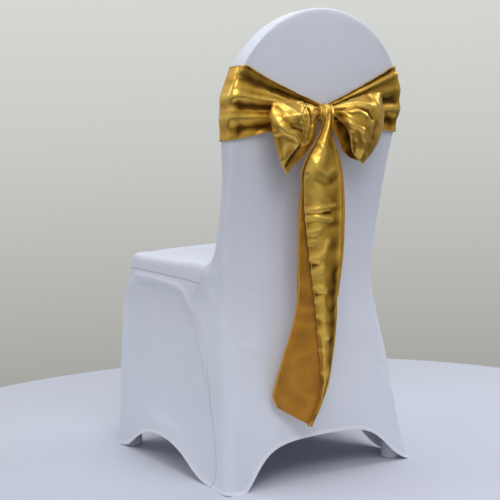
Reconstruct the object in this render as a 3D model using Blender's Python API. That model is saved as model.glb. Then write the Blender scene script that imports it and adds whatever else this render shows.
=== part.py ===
"""A stretch chair cover with a satin sash tied in a bow behind its back.

The cover is an empty hollow skin: three sewn panels and four foot pockets.
Lengths are metres and +Z is up. The table positions are measured from the floor
under the cover; the root empty then puts the origin under the top of the back.
+X is the sitter's left, and the sitter faces -Y, so the bow is on the +Y side.
"""

from collections import namedtuple
from math import cos, pi, radians, sin

import bmesh
import bpy
import numpy as np
from mathutils import Vector
from mathutils.bvhtree import BVHTree

# Driving dimensions of the cover: the back rounds from the spring height up by the rise
SPRING_HEIGHT = 0.757
DOME_RISE = 0.1955
BACK_LEAN = 0.117
CLOTH = 0.002
SEAM_GAP = 0.0005

# Half widths of the arches in the hem, by side, and how square the arches are
REAR_ARCH = {1: 0.178, -1: 0.196}
FRONT_ARCH = 0.182
ARCH_POWER = 3.5
ARCH_ROOT = 1.3
HEM_LIFT = 0.031
SIDE_BULGE = 0.6

# How far the seat, the pads and the rounded top swell
SEAT_CROWN = 0.010
SEAT_CROWN_AT_FRONT = 0.35
PAD_CROWN = 0.010
SEAT_FILLET = 0.004
DOME_CROWN = {"rear": 0.004, "middle": 0.0, "face": -PAD_CROWN}
RIM_SWELL = 0.002

# How firm the edges stay when the cover is smoothed, and how finely it is made
RIM_CREASE = 0.35
RIDGE_CREASE = 0.30
FIT_ROUNDS = 8
COVER_LEVEL = 1

# Foot pockets: a cup in each toe of the cover, round the foot of a chair leg
POCKET_PLACES = {"rear": (0.2045, 0.026), "front": (0.1955, -0.419)}
POCKET_HEIGHT = 0.037
POCKET_WALL = 0.0015
POCKET_REACH = 0.0215
POCKET_SIDES = 14
POCKET_CLEARANCE = 0.0006
LEAST_SLOPE = 0.35

# Sash, one length of satin about 152 mm wide
SATIN = 0.0015
SASH_CLEARANCE = 0.0021
KNOT_CENTRE = (0.002, 0.100, 0.750)
KNOT_RADII = (0.0215, 0.0165, 0.0205)
KNOT_WRAP = 0.06
KNOT_SEGMENTS, KNOT_RINGS = 14, 9
BAND_SIDES = {1: (0.706, 0.848), -1: (0.705, 0.838)}
BAND_FRONT = (0.700, 0.846)
BAND_KNOT = (0.737, 0.766)
BAND_COLUMNS = 8
BAND_TUCK = 0.006
BAND_START = 0.004
BAND_TURN = 0.018
CORNER_INSET = 0.014
CORNER_REACH = 0.020
CORNER_SWELL = 1.25
FRONT_STANDOFF = 0.016
FRONT_FADE = 1.2
PLEAT_DEPTH = 0.0030
PLEATS = 2.0

# Stations along half of the band: 0 at the knot, 1 at the rear corner, 2 at the front corner
BAND_BEHIND = (0.0, 0.12, 0.24, 0.38, 0.52, 0.66, 0.80, 0.92)
BAND_AROUND = (1.0, 1.11, 1.20, 1.27, 1.36, 1.5, 1.64, 1.73, 1.80, 1.89, 2.0, 2.15, 2.4, 2.7)

# Meshing of the loops and tails: across a layer, round the fold, and between cross lines
LOOP_COLUMNS = 8
LOOP_STEPS = 2
TAIL_HANG = {"near": 0.112, "far": 0.100}
TAIL_STEPS = 2
TAIL_LAYER = (0.0, 0.2, 0.4, 0.6, 0.8, 1.0)
TAIL_BEND = (-pi / 4, 0.0, pi / 4)

Rib = namedtuple("Rib", "top middle bottom")
Drop = namedtuple("Drop", "heights turn left right flap gap")

# Cross lines of each loop, from the knot out along the front layer, round the end and back behind
LEFT_LOOP = (
    Rib((0.008, 0.104, 0.757), (0.010, 0.107, 0.752), (0.010, 0.106, 0.746)),
    Rib((0.027, 0.107, 0.766), (0.027, 0.120, 0.743), (0.023, 0.107, 0.716)),
    Rib((0.055, 0.111, 0.774), (0.054, 0.133, 0.733), (0.043, 0.106, 0.686)),
    Rib((0.090, 0.113, 0.778), (0.090, 0.138, 0.718), (0.070, 0.113, 0.658)),
    Rib((0.118, 0.110, 0.779), (0.120, 0.130, 0.712), (0.090, 0.116, 0.641)),
    Rib((0.128, 0.103, 0.778), (0.131, 0.114, 0.712), (0.098, 0.112, 0.637)),
    Rib((0.120, 0.097, 0.776), (0.121, 0.099, 0.714), (0.091, 0.105, 0.641)),
    Rib((0.085, 0.096, 0.771), (0.086, 0.093, 0.722), (0.066, 0.097, 0.664)),
    Rib((0.045, 0.098, 0.764), (0.045, 0.095, 0.738), (0.036, 0.096, 0.700)),
    Rib((0.008, 0.099, 0.756), (0.008, 0.098, 0.752), (0.008, 0.098, 0.747)),
)
RIGHT_LOOP = (
    Rib((-0.005, 0.104, 0.757), (-0.006, 0.107, 0.751), (-0.006, 0.106, 0.746)),
    Rib((-0.028, 0.107, 0.762), (-0.030, 0.121, 0.749), (-0.031, 0.112, 0.735)),
    Rib((-0.062, 0.109, 0.771), (-0.062, 0.136, 0.745), (-0.052, 0.124, 0.712)),
    Rib((-0.100, 0.110, 0.783), (-0.100, 0.138, 0.730), (-0.062, 0.128, 0.678)),
    Rib((-0.128, 0.107, 0.786), (-0.127, 0.126, 0.722), (-0.080, 0.120, 0.650)),
    Rib((-0.135, 0.101, 0.785), (-0.137, 0.111, 0.720), (-0.092, 0.112, 0.642)),
    Rib((-0.127, 0.096, 0.782), (-0.127, 0.099, 0.720), (-0.082, 0.101, 0.646)),
    Rib((-0.092, 0.095, 0.777), (-0.094, 0.094, 0.722), (-0.054, 0.094, 0.658)),
    Rib((-0.048, 0.097, 0.768), (-0.048, 0.094, 0.738), (-0.032, 0.094, 0.702)),
    Rib((-0.004, 0.099, 0.756), (-0.004, 0.098, 0.752), (-0.004, 0.098, 0.747)),
)

# The long near tail: a ribbon folded over along its right side, so that a flap lies on its front.
# Three heights for the left edge, the fold and the flap's edge; then distances across the tail,
# which turns as it hangs.
NEAR_TAIL = (
    Drop((0.748, 0.748, 0.748), 0, 0.012, -0.006, 0.011, 0.0040),
    Drop((0.725, 0.725, 0.725), 0, 0.019, -0.004, 0.018, 0.0050),
    Drop((0.700, 0.700, 0.700), 2, 0.033, -0.003, 0.031, 0.0060),
    Drop((0.670, 0.670, 0.670), 5, 0.053, -0.008, 0.050, 0.0080),
    Drop((0.640, 0.640, 0.640), 9, 0.065, -0.013, 0.062, 0.0090),
    Drop((0.590, 0.590, 0.590), 15, 0.065, -0.015, 0.062, 0.0095),
    Drop((0.530, 0.530, 0.530), 20, 0.070, -0.014, 0.057, 0.0095),
    Drop((0.455, 0.455, 0.455), 25, 0.071, -0.010, 0.048, 0.0095),
    Drop((0.392, 0.392, 0.392), 25, 0.073, -0.003, 0.043, 0.0090),
    Drop((0.330, 0.330, 0.330), 25, 0.086, 0.000, 0.037, 0.0085),
    Drop((0.270, 0.268, 0.268), 25, 0.106, 0.007, 0.034, 0.0075),
    Drop((0.218, 0.210, 0.210), 25, 0.123, 0.017, 0.031, 0.0065),
    Drop((0.188, 0.162, 0.162), 25, 0.130, 0.034, 0.042, 0.0055),
    Drop((0.163, 0.121, 0.124), 25, 0.121, 0.053, 0.061, 0.0050),
)

# The short far tail, folded the other way, so that its flap lies behind it
FAR_TAIL = (
    Drop((0.747, 0.747, 0.747), 0, -0.006, 0.008, -0.004, 0.0030),
    Drop((0.722, 0.722, 0.722), 0, -0.012, 0.012, -0.010, 0.0035),
    Drop((0.695, 0.695, 0.695), 2, -0.019, 0.017, -0.014, 0.0045),
    Drop((0.665, 0.665, 0.665), 6, -0.028, 0.035, -0.020, 0.0060),
    Drop((0.625, 0.625, 0.625), 10, -0.035, 0.050, -0.024, 0.0070),
    Drop((0.560, 0.560, 0.560), 18, -0.035, 0.057, -0.024, 0.0075),
    Drop((0.480, 0.478, 0.478), 24, -0.030, 0.060, -0.020, 0.0075),
    Drop((0.425, 0.415, 0.420), 25, -0.023, 0.063, -0.014, 0.0070),
    Drop((0.382, 0.350, 0.372), 25, -0.016, 0.067, -0.008, 0.0060),
)

# Origin: the inner face of the cloth under the top of the back
ORIGIN = Vector((0.0, 0.0725, 0.9525))

Spot = namedtuple("Spot", "name centre corner middle crease")
Side = namedtuple("Side", "name height front_x front_y front_height dip")

# The rear face, the rim and the rear leg, from the hem up to where the top starts to round
BACK_ROWS = (
    Spot("hem", (0, 0.052, 0.087), (0.2225, 0.064, 0.0), (0.2345, 0.036, 0.0), (0.227, -0.018, 0.0)),
    Spot("pocket", (0, 0.05, 0.118), (0.2145, 0.054, 0.037), (0.2265, 0.028, 0.037), (0.2185, -0.005, 0.037)),
    Spot("shin", (0, 0.044, 0.165), (0.2065, 0.038, 0.13), (0.2125, 0.006, 0.13), (0.209, -0.026, 0.13)),
    Spot("calf", (0, 0.031, 0.23), (0.2015, 0.02, 0.22), (0.207, -0.012, 0.22), (0.2065, -0.045, 0.22)),
    Spot("knee", (0, 0.023, 0.305), (0.1945, 0.003, 0.3), (0.2005, -0.027, 0.3), (0.205, -0.066, 0.3)),
    Spot("under", (0, 0.02, 0.345), (0.189, -0.004, 0.34), (0.1975, -0.036, 0.34), (0.2045, -0.086, 0.337)),
    Spot("ridge", (0, 0.0185, 0.38), (0.185, -0.006, 0.375), (0.1945, -0.042, 0.375), (0.2045, -0.108, 0.367)),
    Spot("seam", (0, 0.0175, 0.414), (0.185, -0.005, 0.413), (0.1915, -0.036, 0.411), (0.2028, -0.072, 0.411)),
    Spot("seat", (0, 0.0175, 0.452), (0.187, -0.001, 0.452), (0.19, -0.022, 0.451), (0.197, -0.045, 0.452)),
    Spot("waist", (0, 0.02, 0.505), (0.1885, 0.007, 0.505), (0.1905, -0.008, 0.503), (0.1905, -0.018, 0.503)),
    Spot("lumbar", (0, 0.034, 0.585), (0.191, 0.028, 0.585), (0.1925, 0.015, 0.585), (0.19, 0.003, 0.585)),
    Spot("shoulder", (0, 0.055, 0.67), (0.196, 0.0505, 0.67), (0.198, 0.034, 0.67), (0.1945, 0.0175, 0.67)),
    Spot("spring", (0, 0.0765, 0.757), (0.203, 0.0725, 0.757), (0.205, 0.051, 0.757), (0.201, 0.028, 0.757)),
)

# The skirt's side: height halfway along, the front corner, and how far the cloth is drawn in
SIDE_ROWS = (
    Side("hem", 0.000, 0.2175, -0.441, 0.000, 0.000),
    Side("pocket", 0.037, 0.2168, -0.438, 0.037, 0.001),
    Side("shin", 0.125, 0.2145, -0.432, 0.130, 0.003),
    Side("calf", 0.220, 0.2115, -0.424, 0.220, 0.006),
    Side("knee", 0.305, 0.2085, -0.415, 0.300, 0.0085),
    Side("under", 0.360, 0.2065, -0.408, 0.340, 0.0085),
    Side("ridge", 0.391, 0.2045, -0.394, 0.372, -0.002),
    Side("seam", 0.414, 0.2015, -0.380, 0.413, -0.001),
    Side("seat", 0.444, 0.1970, -0.369, 0.444, -0.002),
)

# The middle of the front, from the hem to the front edge of the seat: distance forward and height
FRONT_MIDDLE = (
    (-0.430, 0.087), (-0.427, 0.118), (-0.420, 0.165), (-0.410, 0.230), (-0.400, 0.305),
    (-0.395, 0.345), (-0.391, 0.380), (-0.388, 0.414), (-0.378, 0.447),
)

# The side hem between the rear foot and the front foot: distance back and height
SIDE_HEM = ((-0.077, 0.012), (-0.150, 0.047), (-0.245, 0.062), (-0.335, 0.043), (-0.402, 0.006))

# Where the side's columns stand, as shares of the way from the rear leg to the front corner
SIDE_SHARES = (0.14, 0.35, 0.57, 0.79, 0.93)

# Where the columns of a face stand, as shares of its half width
FACE_SHARES = (0.0, 0.33, 0.62, 0.84)
FACE_COLUMNS = len(FACE_SHARES)
SIDE_NAMES = [f"side{number}" for number in range(len(SIDE_SHARES))]

# Places of the named rows in the tables above
ROW_NAMES = [spot.name for spot in BACK_ROWS]
SHIN_ROW = ROW_NAMES.index("shin")
RIDGE_ROW = ROW_NAMES.index("ridge")
SEAM_ROW = ROW_NAMES.index("seam")
SEAT_ROW = ROW_NAMES.index("seat")
WAIST_ROW = ROW_NAMES.index("waist")

# The rounded top is a patch of quads on each half
DOME_ROWS = 3
DOME_COLUMNS = FACE_COLUMNS
DOME_NAMES = [f"dome{row}" for row in range(1, DOME_ROWS + 1)]

BACK_PANEL, FRONT_PANEL, SKIRT = 0, 1, 2

# Colours in linear light, and the angle in degrees from which an edge is drawn sharp
WHITE = (0.80, 0.81, 0.86)
GOLD = (0.58, 0.34, 0.06)
SHARP_ANGLE = 50


def clear_scene():
    for old in list(bpy.data.objects):
        bpy.data.objects.remove(old, do_unlink=True)


def make_material(name, colour, roughness):
    material = bpy.data.materials.new(name)
    material.use_nodes = True
    shader = material.node_tree.nodes["Principled BSDF"]
    shader.inputs["Base Color"].default_value = (*colour, 1.0)
    shader.inputs["Roughness"].default_value = roughness
    return material


def mix(start, end, share):
    return tuple(a + (b - a) * share for a, b in zip(start, end))


def arch(share):
    """Height of an arched hem over its ends, 1 in the middle and 0 at the foot."""
    return max(0.0, 1.0 - abs(share) ** ARCH_POWER) ** (1.0 / ARCH_ROOT)


class Cage:
    """The coarse quads that the smooth cover is made from."""

    def __init__(self):
        self.points = []
        self.faces = []
        self.panels = []
        self.creases = {}
        self.index = {}

    def add(self, key, place):
        if key not in self.index:
            self.index[key] = len(self.points)
            self.points.append(place)
        return self.index[key]

    def quad(self, panel, corners, sign):
        ids = [self.index[key] for key in corners]
        self.faces.append(ids if sign > 0 else ids[::-1])
        self.panels.append(panel)

    def crease(self, first, second, value):
        self.creases[frozenset((self.index[first], self.index[second]))] = value


def side_key(sign, column, row):
    """Points on the middle plane belong to both halves."""
    return (0 if column in ("rear0", "front0", "face0") else sign, column, row)


def rear_point(spot, share, sign):
    """A point across the rear face at one row, from its middle to its corner."""
    _, y, z = mix(spot.centre, spot.corner, share**2)
    x = spot.corner[0] * share
    if spot.name in ("hem", "pocket"):
        lift = spot.corner[2]
        rise = spot.centre[2] - lift
        z = lift + rise * arch(x / REAR_ARCH[sign])
    return (sign * x, y, z)


def add_rear(cage, sign):
    for spot in BACK_ROWS:
        for number, share in enumerate(FACE_SHARES):
            cage.add(side_key(sign, f"rear{number}", spot.name), rear_point(spot, share, sign))
        for column in ("corner", "middle", "crease"):
            x, y, z = getattr(spot, column)
            cage.add(side_key(sign, column, spot.name), (sign * x, y, z))


def add_side(cage, sign):
    """Columns of the side between the rear leg and the front corner."""
    for row, side in zip(BACK_ROWS, SIDE_ROWS):
        start = row.crease
        end = (side.front_x, side.front_y, side.front_height)
        for number, share in enumerate(SIDE_SHARES):
            x, y, z = mix(start, end, share)
            bulge = (4.0 * share * (1.0 - share)) ** SIDE_BULGE
            x -= side.dip * bulge
            z += (side.height - (start[2] + end[2]) / 2.0) * bulge
            if side.name in ("hem", "pocket"):
                hem_y, hem_z = SIDE_HEM[number]
                y = hem_y
                z = hem_z + (HEM_LIFT if side.name == "pocket" else 0.0)
            cage.add(side_key(sign, f"side{number}", side.name), (sign * x, y, z))
        cage.add(side_key(sign, "toe", side.name), (sign * end[0], end[1], end[2]))


def add_front(cage, sign):
    for side, (middle_y, middle_z) in zip(SIDE_ROWS, FRONT_MIDDLE):
        for number, share in enumerate(FACE_SHARES):
            x = side.front_x * share
            y = middle_y + (side.front_y - middle_y) * share**2
            if side.name in ("hem", "pocket"):
                z = side.front_height + (middle_z - side.front_height) * arch(x / FRONT_ARCH)
            else:
                z = middle_z + (side.front_height - middle_z) * share**2
            cage.add(side_key(sign, f"front{number}", side.name), (sign * x, y, z))


def add_seat(cage, sign):
    """Inner points of the seat top, row by row from the back to the front edge."""
    front = SIDE_ROWS[-1].front_y
    back = BACK_ROWS[SEAT_ROW].crease[1]
    for column in SIDE_NAMES:
        edge = cage.points[cage.index[side_key(sign, column, "seat")]]
        along = (edge[1] - front) / (back - front)
        crown = SEAT_CROWN * min(1.0, SEAT_CROWN_AT_FRONT + 2.0 * along)
        bow = (FRONT_MIDDLE[-1][0] - front) * (1.0 - along)
        for number, share in enumerate(FACE_SHARES):
            place = (
                edge[0] * share,
                edge[1] + bow * (1.0 - share**2),
                edge[2] + crown * (1.0 - share**4),
            )
            cage.add(side_key(sign, f"face{number}", f"top {column}"), place)


def add_inner_back(cage, sign):
    """The face of the back that the sitter leans on, up to where the top rounds."""
    for spot in BACK_ROWS[SEAT_ROW:]:
        x_edge, y_edge, z_edge = spot.crease
        at_seat = spot.name == "seat"
        crown = SEAT_FILLET if at_seat else PAD_CROWN
        lift = SEAT_FILLET if at_seat else 0.0
        for number, share in enumerate(FACE_SHARES):
            place = (sign * x_edge * share, y_edge - crown * (1.0 - share**2), z_edge + lift)
            cage.add(side_key(sign, f"face{number}", spot.name), place)


def dome_point(row, column, half_width, rise):
    """A point of the rounded top in its own plane: a patch between the arch and its base."""
    steps = DOME_ROWS + DOME_COLUMNS
    shares = FACE_SHARES + (1.0,)

    def on_arch(step):
        angle = 0.5 * pi * step / steps
        return np.array((half_width * cos(angle), rise * sin(angle)))

    u = column / DOME_COLUMNS
    v = row / DOME_ROWS
    bottom = np.array((half_width * shares[column], 0.0))
    top = on_arch(steps - column)
    left = np.array((0.0, rise * v))
    right = on_arch(row)
    corner = on_arch(DOME_ROWS)
    flat = u * (1 - v) * np.array((half_width, 0.0)) + (1 - u) * v * np.array((0.0, rise)) + u * v * corner
    return (1 - v) * bottom + v * top + (1 - u) * left + u * right - flat


def add_dome(cage, sign):
    spring = BACK_ROWS[-1]
    half = {"rear": spring.corner[0], "middle": spring.middle[0], "face": spring.crease[0]}
    depth = {"rear": spring.corner[1], "middle": spring.middle[1], "face": spring.crease[1]}
    rise = {"rear": DOME_RISE, "middle": DOME_RISE + RIM_SWELL, "face": DOME_RISE - RIM_SWELL}
    edge_column = {"rear": "corner", "middle": "middle", "face": "crease"}
    for layer in ("rear", "middle", "face"):
        for row in range(1, DOME_ROWS + 1):
            for column in range(DOME_COLUMNS + 1):
                on_edge = column == DOME_COLUMNS or row == DOME_ROWS
                if layer == "middle" and not on_edge:
                    continue
                x, z = dome_point(row, column, half[layer], rise[layer])
                share = x / half[layer]
                fade = 1.0 - min(1.0, share**2 + (z / rise[layer]) ** 2)
                y = depth[layer] + BACK_LEAN * z + DOME_CROWN[layer] * fade
                place = (sign * x, y, SPRING_HEIGHT + z)
                name = edge_column[layer] if column == DOME_COLUMNS else f"{layer}{column}"
                key = (0 if column == 0 else sign, name, f"dome{row}")
                cage.add(key, place)


def seat_key(sign, column, row):
    """The seat top's points share the side's upper edge and the foot of the inner back."""
    if column < FACE_COLUMNS:
        return side_key(sign, f"face{column}", row)
    if row == "seat":
        return side_key(sign, "crease", "seat")
    return side_key(sign, row.split()[-1], "seat")


def front_key(sign, column):
    return side_key(sign, "toe" if column == FACE_COLUMNS else f"front{column}", "seat")


def strip_faces(cage, sign, panel, columns, rows):
    """Quads between neighbouring columns and rows."""
    for low, high in zip(rows, rows[1:]):
        for first, second in zip(columns, columns[1:]):
            corners = [(second, low), (first, low), (first, high), (second, high)]
            cage.quad(panel, [side_key(sign, column, row) for column, row in corners], sign)


def rim_faces(cage, sign):
    """The rim over the rounded top, from the rear edge to the front edge."""
    inward = range(FACE_COLUMNS - 1, -1, -1)
    over = [("corner", "middle", "crease")] + [(f"rear{n}", f"middle{n}", f"face{n}") for n in inward]
    for here, there in zip(over, over[1:]):
        for side in (0, 1):
            corners = [here[side], here[side + 1], there[side + 1], there[side]]
            keys = [(0 if name[-1] == "0" else sign, name, DOME_NAMES[-1]) for name in corners]
            cage.quad(BACK_PANEL, keys[::-1], sign)


def seat_faces(cage, sign):
    """The seat top, from the foot of the back to its front edge."""
    rows = ["seat"] + [f"top {name}" for name in SIDE_NAMES]
    for before, row in zip(rows, rows[1:]):
        for number in range(FACE_COLUMNS):
            corners = [(number, before), (number + 1, before), (number + 1, row), (number, row)]
            keys = [seat_key(sign, column, line) for column, line in corners]
            cage.quad(FRONT_PANEL, keys[::-1], sign)
    for number in range(FACE_COLUMNS):
        keys = [seat_key(sign, number, rows[-1]), seat_key(sign, number + 1, rows[-1])]
        keys += [front_key(sign, number + 1), front_key(sign, number)]
        cage.quad(FRONT_PANEL, keys[::-1], sign)


def cover_faces(cage, sign):
    """All quads of one half, wound to face outwards."""
    faces = range(FACE_COLUMNS)
    rear = [f"rear{n}" for n in faces] + ["corner", "middle", "crease"]
    inner = ["crease"] + [f"face{n}" for n in reversed(faces)]
    skirt = ["crease"] + SIDE_NAMES + ["toe"] + [f"front{n}" for n in reversed(faces)]
    top = [ROW_NAMES[-1]] + DOME_NAMES
    strip_faces(cage, sign, BACK_PANEL, rear, ROW_NAMES)
    strip_faces(cage, sign, SKIRT, skirt, ROW_NAMES[:SEAM_ROW + 1])
    strip_faces(cage, sign, FRONT_PANEL, skirt, ROW_NAMES[SEAM_ROW:SEAT_ROW + 1])
    strip_faces(cage, sign, FRONT_PANEL, inner, ROW_NAMES[SEAT_ROW:])
    strip_faces(cage, sign, BACK_PANEL, rear, top)
    strip_faces(cage, sign, FRONT_PANEL, inner, top)
    rim_faces(cage, sign)
    seat_faces(cage, sign)


def add_creases(cage, sign):
    """Keeps the rim of the back and the ridge over the seat firmer than the rest."""
    names = ROW_NAMES[WAIST_ROW:] + DOME_NAMES
    for column in ("corner", "crease"):
        for low, high in zip(names, names[1:]):
            cage.crease(side_key(sign, column, low), side_key(sign, column, high), RIM_CREASE)
    last = DOME_NAMES[-1]
    for layer, corner in (("rear", "corner"), ("face", "crease")):
        chain = [(sign, corner, last)]
        chain += [(sign, f"{layer}{number}", last) for number in range(FACE_COLUMNS - 1, 0, -1)]
        chain.append((0, f"{layer}0", last))
        for first, second in zip(chain, chain[1:]):
            cage.crease(first, second, RIM_CREASE)
    ridge = ["crease"] + SIDE_NAMES + ["toe"]
    for first, second in zip(ridge, ridge[1:]):
        cage.crease(side_key(sign, first, "ridge"), side_key(sign, second, "ridge"), RIDGE_CREASE)
    leg = ROW_NAMES[SHIN_ROW:RIDGE_ROW + 1]
    for low, high in zip(leg, leg[1:]):
        cage.crease(side_key(sign, "crease", low), side_key(sign, "crease", high), RIDGE_CREASE)


def build_cage():
    cage = Cage()
    for sign in (1, -1):
        add_rear(cage, sign)
        add_side(cage, sign)
        add_front(cage, sign)
        add_inner_back(cage, sign)
        add_seat(cage, sign)
        add_dome(cage, sign)
        cover_faces(cage, sign)
        add_creases(cage, sign)
    return cage


def smooth_cover(cage, level):
    """The smooth cover whose surface passes through the cage's own points."""
    mesh = bpy.data.meshes.new("cover form")
    mesh.from_pydata(cage.points, [], cage.faces)
    mesh.polygons.foreach_set("material_index", cage.panels)
    for name in ("back", "front", "skirt"):
        mesh.materials.append(None)
    values = mesh.attributes.new("crease_edge", "FLOAT", "EDGE")
    for edge in mesh.edges:
        values.data[edge.index].value = cage.creases.get(frozenset(edge.vertices), 0.0)
    form = bpy.data.objects.new("cover form", mesh)
    bpy.context.scene.collection.objects.link(form)
    subdivide = form.modifiers.new("smooth", "SUBSURF")
    subdivide.levels = 1
    subdivide.render_levels = 1
    target = np.array(cage.points)
    control = target.copy()
    for _ in range(FIT_ROUNDS):
        mesh.vertices.foreach_set("co", control.ravel())
        mesh.update()
        bpy.context.view_layer.update()
        evaluated = form.evaluated_get(bpy.context.evaluated_depsgraph_get()).data
        reached = np.array([evaluated.vertices[i].co[:] for i in range(len(target))])
        control = control + (target - reached)
    mesh.vertices.foreach_set("co", control.ravel())
    mesh.update()
    subdivide.levels = level
    subdivide.render_levels = level
    bpy.context.view_layer.update()
    graph = bpy.context.evaluated_depsgraph_get()
    result = bpy.data.meshes.new_from_object(form.evaluated_get(graph), depsgraph=graph)
    for vertex in result.vertices:
        vertex.co.z = max(vertex.co.z, 0.0)
    bpy.data.objects.remove(form, do_unlink=True)
    return result


def panel_mesh(cover, panel, name):
    """One sewn panel: its outer faces, the inner faces a cloth's thickness in, and the edge between."""
    points = np.array([vertex.co[:] for vertex in cover.vertices])
    normals = np.array([vertex.normal[:] for vertex in cover.vertices])
    faces = [list(face.vertices) for face in cover.polygons if face.material_index == panel]
    others = {v for face in cover.polygons if face.material_index != panel for v in face.vertices}
    used = sorted({v for face in faces for v in face})
    near = {v: set() for v in used}
    sides = {}
    for face in faces:
        for first, second in zip(face, face[1:] + face[:1]):
            near[first].add(second)
            near[second].add(first)
            sides.setdefault(frozenset((first, second)), []).append((first, second))
    seam = {v for v in used if v in others}
    place = {}
    for v in used:
        place[v] = points[v]
        if v in seam:
            inside = [w for w in near[v] if w not in seam]
            if not inside:
                inside = [w for face in faces if v in face for w in face if w not in seam]
            pull = np.mean([points[w] for w in inside], axis=0) - points[v]
            along = [points[w] - points[v] for w in near[v] if w in seam]
            if len(along) == 2:
                line = along[0] - along[1]
                line = line / np.linalg.norm(line)
                pull = pull - line * pull.dot(line)
            place[v] = points[v] + pull / np.linalg.norm(pull) * (SEAM_GAP / 2.0)
    outer = {v: i for i, v in enumerate(used)}
    inner = {v: i + len(used) for i, v in enumerate(used)}
    coords = [place[v] for v in used] + [place[v] - normals[v] * CLOTH for v in used]
    for spot in coords:
        spot[2] = max(spot[2], 0.0)
    quads = [[outer[v] for v in face] for face in faces]
    quads += [[inner[v] for v in reversed(face)] for face in faces]
    for uses in sides.values():
        if len(uses) == 1:
            first, second = uses[0]
            ring = [outer[second], outer[first], inner[first], inner[second]]
            if first > second:
                ring = ring[1:] + ring[:1]
            quads += [ring[:3], [ring[0]] + ring[2:]]
    mesh = bpy.data.meshes.new(name)
    mesh.from_pydata([tuple(c) for c in coords], [], quads)
    mesh.update()
    return mesh


def sheet(name, rows, thickness):
    """A closed cloth solid around a grid of middle points, half the thickness to each side."""
    grid = np.array(rows, dtype=float)
    along = np.gradient(grid, axis=0)
    across = np.gradient(grid, axis=1)
    normal = np.cross(along, across)
    normal /= np.linalg.norm(normal, axis=2, keepdims=True)
    upper = grid + normal * thickness / 2.0
    lower = grid - normal * thickness / 2.0
    count, width = grid.shape[:2]
    coords = [tuple(p) for p in upper.reshape(-1, 3)] + [tuple(p) for p in lower.reshape(-1, 3)]
    total = count * width

    def top(i, j):
        return i * width + j

    faces = []
    for i in range(count - 1):
        for j in range(width - 1):
            ring = [top(i, j), top(i + 1, j), top(i + 1, j + 1), top(i, j + 1)]
            faces.append(ring)
            faces.append([v + total for v in reversed(ring)])
    border = [top(i, 0) for i in range(count)]
    border += [top(count - 1, j) for j in range(1, width)]
    border += [top(i, width - 1) for i in range(count - 2, -1, -1)]
    border += [top(0, j) for j in range(width - 2, 0, -1)]
    for first, second in zip(border, border[1:] + border[:1]):
        faces.append([first, first + total, second + total, second])
    mesh = bpy.data.meshes.new(name)
    mesh.from_pydata(coords, [], faces)
    work = bmesh.new()
    work.from_mesh(mesh)
    bmesh.ops.recalc_face_normals(work, faces=work.faces)
    work.to_mesh(mesh)
    work.free()
    return mesh


def flow(keys, steps):
    """Values between the keys on a Catmull-Rom curve, with steps to each stretch."""
    keys = np.array(keys, dtype=float)
    result = []
    for i in range(len(keys) - 1):
        before = keys[max(i - 1, 0)]
        after = keys[min(i + 2, len(keys) - 1)]
        start, end = keys[i], keys[i + 1]
        for step in range(steps):
            t = step / steps
            result.append(
                0.5 * (2 * start + (end - before) * t
                       + (2 * before - 5 * start + 4 * end - after) * t**2
                       + (3 * start - before - 3 * end + after) * t**3)
            )
    result.append(keys[-1])
    return np.array(result)


def back_section(height):
    """Half width, rear y and front y of the covered back at a height."""
    if height >= SPRING_HEIGHT:
        up = (height - SPRING_HEIGHT) / DOME_RISE
        lean = BACK_LEAN * (height - SPRING_HEIGHT)
        spring = BACK_ROWS[-1]
        half = spring.middle[0] * max(0.0, 1.0 - up**2) ** 0.5
        return half, spring.corner[1] + lean, spring.crease[1] + lean
    heights = [spot.corner[2] for spot in BACK_ROWS]
    half = np.interp(height, heights, [spot.middle[0] for spot in BACK_ROWS])
    rear = np.interp(height, heights, [spot.corner[1] for spot in BACK_ROWS])
    front = np.interp(height, heights, [spot.crease[1] for spot in BACK_ROWS])
    return half, rear, front


def band_station(sign, reach, share, surface):
    """A point of the band: reach 0 at the knot, 1 at the rear corner, up to 3 at the front middle."""
    low, high = BAND_SIDES[sign]
    if reach <= 1.0:
        low = BAND_KNOT[0] + (low - BAND_KNOT[0]) * reach
        high = BAND_KNOT[1] + (high - BAND_KNOT[1]) * reach
    else:
        fade = min(1.0, (reach - 1.0) / FRONT_FADE)
        low += (BAND_FRONT[0] - low) * fade
        high += (BAND_FRONT[1] - high) * fade
    z = low + (high - low) * share
    half, rear, front = back_section(z)
    offset = SASH_CLEARANCE + SATIN / 2.0
    if reach < 1.0:
        start_x = KNOT_CENTRE[0] + BAND_START * sign
        start_y = KNOT_CENTRE[1] - BAND_TUCK
        x = start_x + ((half - BAND_TURN) * sign - KNOT_CENTRE[0]) * reach
        y = start_y + (rear + offset - start_y) * reach
        fade = (1.0 - reach) ** 0.7 * min(1.0, 8.0 * reach)
        y += PLEAT_DEPTH * fade * sin(2 * pi * PLEATS * share + sign)
        spot = Vector((x, y, z))
        near, normal, _, _ = surface.find_nearest(spot)
        if (spot - near).dot(normal) < offset:
            spot = near + normal * offset
        return tuple(spot)
    if reach <= 2.0:
        angle = pi / 2.0 - pi * (reach - 1.0)
        way = 1.0 if angle > 0 else -1.0
        x = sign * (half - CORNER_INSET + CORNER_REACH * max(0.0, cos(angle)) ** 0.5)
        y = (rear + front) / 2.0 + (rear - front) / 2.0 * CORNER_SWELL * abs(sin(angle)) ** 0.5 * way
    else:
        x = sign * (half - CORNER_INSET) * (3.0 - reach)
        y = front - FRONT_STANDOFF
    spot = Vector((x, y, z))
    near, normal, _, distance = surface.find_nearest(spot)
    if (spot - near).dot(normal) > 0.0 and distance > offset / 4.0:
        normal = (spot - near) / distance
    return tuple(near + normal * offset)


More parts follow.
